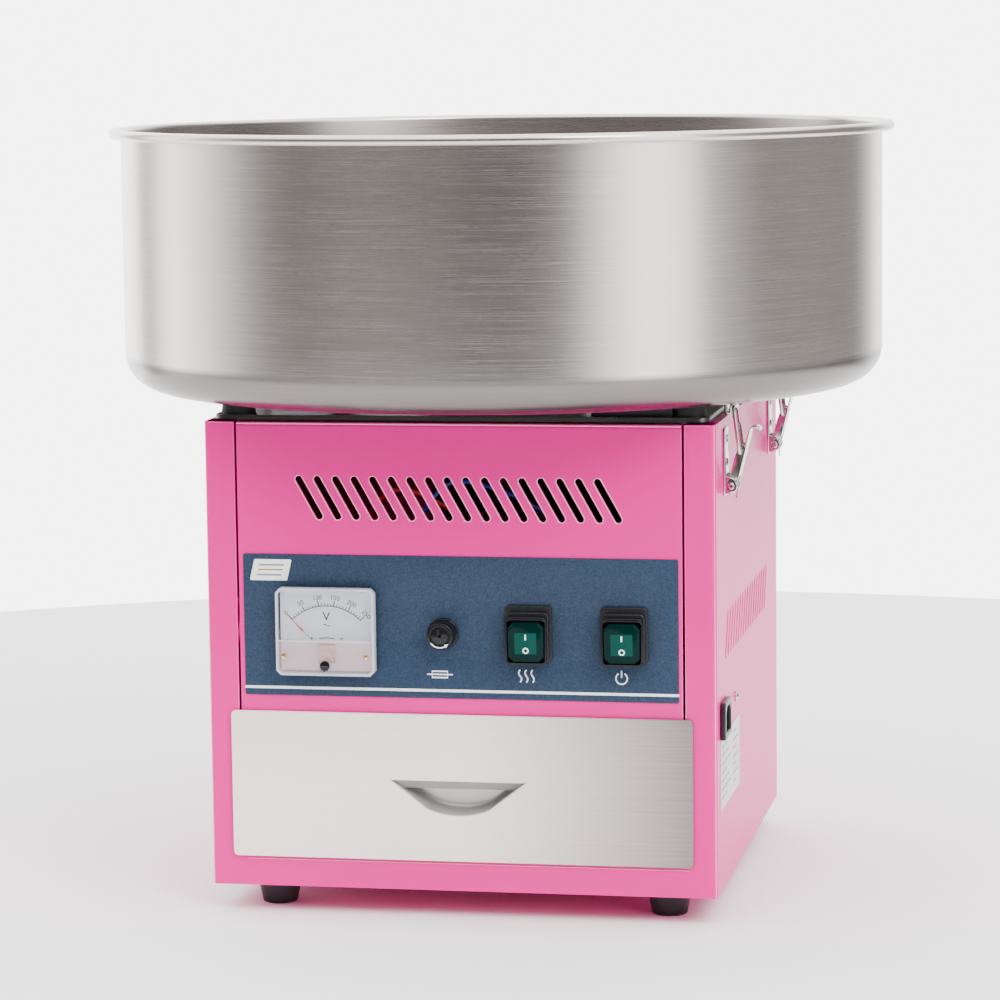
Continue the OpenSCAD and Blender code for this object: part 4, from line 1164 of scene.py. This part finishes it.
def make_lever(corner, side, y):
    """Two cheeks and a bent web. Like the other latch parts, drawn on the right at y = 0 and then moved."""
    cheek = rounded_profile([(-2.6, -2.6, 2.5), (2.6, -2.6, 2.5), (3.2, 8, 1), (3.2, 27, 1.5), (-1.2, 27, 2),
                             (-2.6, 18, 3)], 4)
    holes = [ring_points(0, 0, 1.6, 24), ring_points(0, BAIL_REACH, 1.32, 20)]
    parts = [slab([cheek] + holes, 1.2, "zinc", s * 7.4) for s in (-1, 1)]
    path = [(2.6, 7), (2.6, 30), (2.6, 37)] + arc(5.6, 37, 3.0, 170, 20, 8)
    parts.append(strip_along(path, 8.0, 1.1))
    for part in parts:
        shift(part, turned(LATCH_PIVOT, LEVER_LEAN, "Y"))
    lever = join(parts)
    move_to_corner(lever, side, y)
    place_fine("latch_lever_" + corner, [lever], "lever_" + corner, "zinc")


def make_bail(corner, side, y):
    """A wire loop from the lever up to the bowl's catch, drawn as one half and its mirror image."""
    lean = math.radians(LEVER_LEAN)
    foot = LATCH_PIVOT + Vector((math.sin(lean), 0, math.cos(lean))) * BAIL_REACH
    top = BAIL_BAR
    along = (top - foot).normalized()
    loop = [start + Vector((0, out, rise)) for start, out, rise in (
        (foot, 6.3, 0), (foot, 8.6, 0), (foot, 9.4, 0.3), (foot + along * 2, 9.7, 0),
        (top - along * 3, 9.7, 0), (top - along * 0.9, 9.3, 0), (top, 7.6, 0), (top, 4, 0))]
    loop += [Vector((p.x, -p.y, p.z)) for p in reversed(loop)]
    wire = tube(loop, 1.22, "chrome_wire", sides=16)
    move_to_corner(wire, side, y)
    place_fine("latch_bail_" + corner, [wire], "bail_" + corner, "zinc")


def strip_along(path, half_width, thick):
    """A bent zinc strip in X and Z, half_width to each side of Y = 0, with rounded long edges."""
    w, t, r = half_width, thick / 2, thick * 0.45
    section = rounded_profile([(-w, -t, r), (w, -t, r), (w, t, r), (-w, t, r)], 3)
    points = []
    n = len(section)
    for i, (x, z) in enumerate(path):
        ahead = Vector(path[min(i + 1, len(path) - 1)]) - Vector(path[max(i - 1, 0)])
        across = Vector((ahead.y, -ahead.x)).normalized()
        points += [(x + across.x * t, y, z + across.y * t) for y, t in section]
    faces = skin(len(path), n) + [tuple(range(n)), tuple(range((len(path) - 1) * n, len(path) * n))]
    return add_mesh(points, faces, "zinc", 35)


def move_to_corner(piece, side, y):
    for vertex in piece.data.vertices:
        vertex.co = Vector((vertex.co.x * side, vertex.co.y + y * MM, vertex.co.z))
    if side < 0:
        piece.data.flip_normals()


def make_latch_base(side, y):
    """Base plate with ears, pin, rivets and a small torsion spring."""
    px, pz = LATCH_PIVOT.x, LATCH_PIVOT.z
    plate = rounded_rect(0, (BASE_LOW + BASE_HIGH) / 2, 20, BASE_HIGH - BASE_LOW, 3)
    parts = [slab([plate], 1.2, "zinc", SIDE_X + 0.6, "right", bevel=0.35)]
    ear = rounded_profile([(SIDE_X + 0.9, 270.5, 0.5), (171.5, 271.2, 3), (173, 275.5, 2.5), (171, 280, 3),
                           (SIDE_X + 0.9, 282.5, 0.5)], 4)
    pin_end = rounded_profile([(0.02, 9.7, 0), (2.1, 9.7, 0.2), (1.7, 10.7, 0.5), (0.02, 10.7, 0)])
    for s in (-1, 1):
        parts.append(slab([ear, ring_points(px, pz, 1.56, 24)], 1.2, "zinc", s * 9.1))
        parts.append(lathe(pin_end, "zinc", steps=24, turn=turned(LATCH_PIVOT, -90 * s, "X")))
    parts.append(tube([(px, -10, pz), (px, 10, pz)], 1.48, "zinc", sides=24))
    rivet = rounded_profile([(0.02, 1.0, 0), (2.9, 1.0, 0.3), (2.2, 2.2, 0.8), (0.02, 2.4, 0)])
    parts += [lathe(rivet, "zinc", steps=32, turn=turned((SIDE_X, 0, z), 90, "Y")) for z in (290, 305)]
    turns = [k * math.pi / 6 for k in range(COIL_STEPS + 1)]
    coil = [(px + 2.25 * math.cos(t), -4 + t * 0.42, pz + 2.25 * math.sin(t)) for t in turns]
    tail = [(171.3, 4.2, 273.0), (170.6, 4.2, 266.4)]
    parts.append(tube(coil + tail, 0.4, "chrome_wire", sides=8))
    base = join(parts)
    move_to_corner(base, side, y)
    return base


def make_latches():
    bases = [make_latch_base(side, y) for _, side, y in LATCHES]
    place_fine("latch_bases", bases, "cabinet", "zinc")
    for corner, side, y in LATCHES:
        make_lever(corner, side, y)
        make_bail(corner, side, y)


# ---------- rubber parts ----------

CORNERS = [(-1, -1), (1, -1), (-1, 1), (1, 1)]
FOOT_TOP_R = 14.6
BUMPER_R = 11.8


def make_feet():
    high = box_mm("feet")[1]
    at = high.x - FOOT_TOP_R
    outline = rounded_profile([(5.6, 0, 0.4), (11.2, 0, 1.2), (12.8, 8, 6), (FOOT_TOP_R, high.z - 2.2, 0.6),
                               (FOOT_TOP_R, high.z, 0.5), (3.2, high.z, 0), (3.2, 8, 0), (5.6, 8, 0.3)], 4)
    for i, (sx, sy) in enumerate(CORNERS):
        foot = lathe(outline, "rubber", at=(sx * at, sy * at), steps=64)
        place("foot_%d" % (i + 1), [foot], "cabinet", "black_rubber", "feet")


def make_bumpers():
    """Four cones under the bowl, and a strip that seals the gap at the front."""
    low, high = box_mm("bowl_bumpers")
    at = high.x - BUMPER_R
    top = high.z - low.z
    outline = rounded_profile([(2, 0, 0), (BUMPER_R, 0, 0.4), (BUMPER_R, 1.8, 0.4), (11.2, 2.2, 0.3),
                               (10.2, top, 0.9), (4.5, top, 0.5), (4.5, 6, 0.2), (2, 6, 0)], 4)
    outline = [(r, z + low.z) for r, z in outline]
    for i, (sx, sy) in enumerate(CORNERS):
        cone = lathe(outline, "rubber", at=(sx * at, sy * at), steps=64)
        place("bumper_%d" % (i + 1), [cone], "cabinet", "black_rubber", "bowl_bumpers")
    z, y = low.z + 5.2, -at - 5.5
    strip = slab([rounded_rect(110, z, 51.5, 10.2, 0.8)], 6.8, "rubber", y, bevel=0.5)
    block = slab([rounded_rect(86.5, z, 4.5, 10.3, 0.6)], 7, "black_plastic", y, bevel=0.5)
    place("seal_strip_fine", [strip, block], "cabinet", "black_rubber", "bowl_bumpers")


# ---------- tray, catches and spinning head ----------

TRAY_HOLE = 55
HEAD_R = 72
HEAD_WALL_R = 70.5
BAND_R = 69.55
BAND_WIRES = 72
STUD_CIRCLE_R = 65.2


def make_tray():
    """Sheet tray with an upturned, rounded edge and a spun collar round the drive shaft. Tray and collar are
    darkened as painted shade, and a bright bead along the edge is a painted highlight.
    """
    low, high = box_mm("top_tray")
    w = high.x - low.x
    plate = slab([rounded_rect(0, 0, w - 0.8, w - 0.8, 7.6), ring_points(0, 0, TRAY_HOLE, 96)], 1.2,
                 "tray_steel_painted_shade", low.z + 0.6, "top", bevel=0.2)
    edge = slab([rounded_rect(0, 0, w, w, 8), rounded_rect(0, 0, w - 2.4, w - 2.4, 6.8)], 4, "tray_steel_painted_shade",
                low.z + 2, "top", bevel=0.5, steps=3)
    ring = rounded_profile([(54.8, low.z, 0), (56, low.z, 0), (56, high.z, 0.5), (54.8, high.z, 0.5)])
    collar = lathe(ring, "zinc_painted_shade", steps=96)
    # Bright bead along the top of the edge: a round rim whose brighter metal is a painted highlight.
    lip = [(x, y, low.z + 3.55) for x, y in rounded_rect(0, 0, w - 1.1, w - 1.1, 7.4)]
    bead = tube(lip, 0.5, "spun_aluminium", closed=True)
    place_fine("top_tray", [plate, edge, collar, bead], "cabinet", "stainless")


def make_catches():
    """Bent hook brackets under the bowl, with rounded bends and edges."""
    b = box_mm("bowl_catches")[1].z
    profile = rounded_profile([
        (146, b - 1.5, 0.4), (164.6, b - 1.5, 0.4), (164.6, b - 9, 1.3), (168.6, b - 9, 1.3),
        (168.6, b - 4.8, 0.5), (167.3, b - 4.8, 0.5), (167.3, b - 7.6, 0.3), (166, b - 7.6, 0.3),
        (166, b, 1.6), (146, b, 0.4)], 4)
    hooks = [slab([[(side * x, z) for x, z in profile]], 16, "zinc", y) for _, side, y in LATCHES]
    place_fine("bowl_catches", hooks, "bowl", "zinc")


def make_head():
    """Spun base and cap with rolled edges, a woven band between them and four studs with acorn nuts."""
    z = box_mm("head_base")[0].z + 8
    c = box_mm("head_cap")[0].z + 6
    base = rounded_profile([
        (5, z - 8, 0), (14, z - 8, 0.8), (14, z, 1.2), (HEAD_R, z, 1.4), (HEAD_R, z + 6, 0.6),
        (HEAD_WALL_R, z + 6, 0.6), (HEAD_WALL_R, z + 2.5, 1), (14, z + 2.5, 0.8), (14, z + 8, 0.8),
        (5, z + 8, 0)])
    cap = rounded_profile([
        (26, c - 6, 0.5), (27.4, c - 6, 0.5), (27.4, c + 8.5, 0.6), (60.6, c, 4), (HEAD_WALL_R, c, 0.5),
        (HEAD_WALL_R, c - 4, 0.5), (HEAD_R, c - 4, 0.5), (HEAD_R, c + 1.5, 1.3), (61, c + 1.5, 4),
        (27.2, c + 10.2, 0.6), (26, c + 9, 0.4)])
    for node, outline in (("head_base", base), ("head_cap", cap)):
        place_fine(node, [lathe(outline, "spun_aluminium", steps=160)], "spinner", "spun_aluminium")
    make_band()
    studs = []
    for x, y in arc(0, 0, STUD_CIRCLE_R, 45, 315, 3):
        studs.append(tube([(x, y, z + 2.5), (x, y, c)], 1.8, "zinc", sides=16))
        studs.append(slab([arc(x, y, 3.4, 0, 300, 5)], 3.2, "zinc", c + 3.1, "top", bevel=0.35))
        dome = [(0.02, c + 4.6), (2.38, c + 4.6)] + arc(0, c + 4.7, 2.4, 8, 88, 7)
        stud_head = rounded_profile([(0.02, z - 2.6, 0), (3.2, z - 2.6, 0.9), (3.2, z, 0), (0.02, z, 0)])
        studs += [lathe(outline, "zinc", at=(x, y), steps=32) for outline in (dome, stud_head)]
    place_fine("head_screws", studs, "spinner", "zinc")


def make_band():
    """Two hems with fine wires crossing between them."""
    low, high = box_mm("mesh_band")
    inside, outside = BAND_R - 0.4, BAND_R + 0.4
    start, rise = low.z + 3.5, high.z - low.z - 7
    wires = []
    for a, b in ((low.z, low.z + 4), (high.z - 4, high.z)):
        hem = rounded_profile([(inside, a, 0.2), (outside, a, 0.2), (outside, b, 0.2), (inside, b, 0.2)])
        wires.append(lathe(hem, "spun_aluminium"))
    for k in range(BAND_WIRES):
        for hand in (-1, 1):
            turns = [2 * math.pi * k / BAND_WIRES + hand * 0.3 * t / 6 for t in range(7)]
            line = [(BAND_R * math.cos(turn), BAND_R * math.sin(turn), start + rise * t / 6)
                    for t, turn in enumerate(turns)]
            wires.append(tube(line, 0.38, "spun_aluminium", sides=8))
    place_fine("mesh_band", wires, "spinner", "spun_aluminium")


# ---------- mains inlet and screws ----------

FOOT_BOLT_AT = 128.5
BACK_SCREW_X = 140
BACK_SCREWS_Z = (40, 168, 296)
BACK_SCREW_Y = 162.4


def make_inlet():
    """Moulded mains inlet: a rounded flange, a deep socket with two cut corners, and three pins."""
    low, high = box_mm("inlet_housing")
    y, z = (low.y + high.y) / 2, (low.z + high.z) / 2
    w, h = high.y - low.y, high.z - low.z
    a, b, cut = (w - 9) / 2, (h - 7.5) / 2, 4
    corners = [(-a, -b), (a, -b), (a, b - cut), (a - cut, b), (-a + cut, b), (-a, b - cut)]
    socket = rounded_profile([(y + dy, z + dz, 0.8) for dy, dz in corners], 3)
    body = rounded_rect(y, z, w - 6.4, h - 4.4, 1)
    flange = [rounded_rect(y, z, w, h, 2.6), socket]
    parts = [slab(flange, 3.6, "black_plastic", SIDE_X + 1.8, "right", bevel=0.9, steps=3),
             slab([body, socket], 16, "black_plastic", SIDE_X - 8, "right", bevel=0.2),
             slab([body], 2, "black_plastic", SIDE_X - 17, "right", bevel=0.2)]
    place_fine("inlet_housing", parts, "cabinet", "black_plastic")
    pins = [slab([rounded_rect(y + dy, z + dz, 2, 4, 0.5)], 15, "zinc", SIDE_X - 8.5, "right", bevel=0.4)
            for dy, dz in ((-7, 0), (0, 2), (7, 0))]
    place_fine("inlet_pins", pins, "cabinet", "zinc")


def pan_screw(r, h, shank_r, shank, turn):
    """A screw along +Z, moved by a matrix: domed head with a cross recess drawn as a black mark, painted
    shade.
    """
    outline = rounded_profile([(0.02, -shank, 0), (shank_r, -shank, 0.3), (shank_r, 0, 0), (r, 0, 0.1),
                               (r, h * 0.35, h * 0.2), (r * 0.62, h, h * 0.5), (0.02, h, 0)], 4)
    parts = [lathe(outline, "zinc", steps=40)]
    for x, y in ((r * 0.5, 0), (0, r * 0.5)):
        cut = slot_points((-x, -y), (x, y), r * 0.24, 4)
        parts.append(slab([cut], 0.3, "black_print_and_recess_shade", h - 0.12, "top", bevel=0.05, steps=1))
    for part in parts:
        shift(part, turn)
    return parts


def make_screws():
    """Foot bolts, back panel screws and the earth screw by the inlet."""
    screws = []
    for sx in (-1, 1):
        for sy in (-1, 1):
            screws += pan_screw(5, 3, 3, 15, turned((sx * FOOT_BOLT_AT, sy * FOOT_BOLT_AT, 8), 180, "X"))
        for z in BACK_SCREWS_Z:
            screws += pan_screw(3.2, 1.55, 1.5, 7, turned((sx * BACK_SCREW_X, BACK_SCREW_Y, z), -90, "X"))
    screws += pan_screw(3.65, 2.2, 2, 9, turned((SIDE_X, -70, 131), 90, "Y"))
    place_fine("case_screws", screws, "cabinet", "zinc")


# ---------- running order ----------

LIBRARY = make_library()
make_camera()
make_world()
make_floor()
make_key_light()
dress_cad_nodes()
make_bowl()
make_vent_edges()
make_fold_edges()
make_dust_filter()
make_label()
make_badge()
make_rating_label()
make_meter_cover()
make_dial()
make_meter_metal()
make_needle()
make_zero_screw()
make_fuse_holder()
make_fuse_cap()
make_switch("switch_body_heat", "rocker_heat", HEAT.x)
make_switch("switch_body_power", "rocker_power", POWER.x)
make_drawer_front()
make_pull()
make_latches()
make_feet()
make_bumpers()
make_tray()
make_catches()
make_head()
make_inlet()
make_screws()
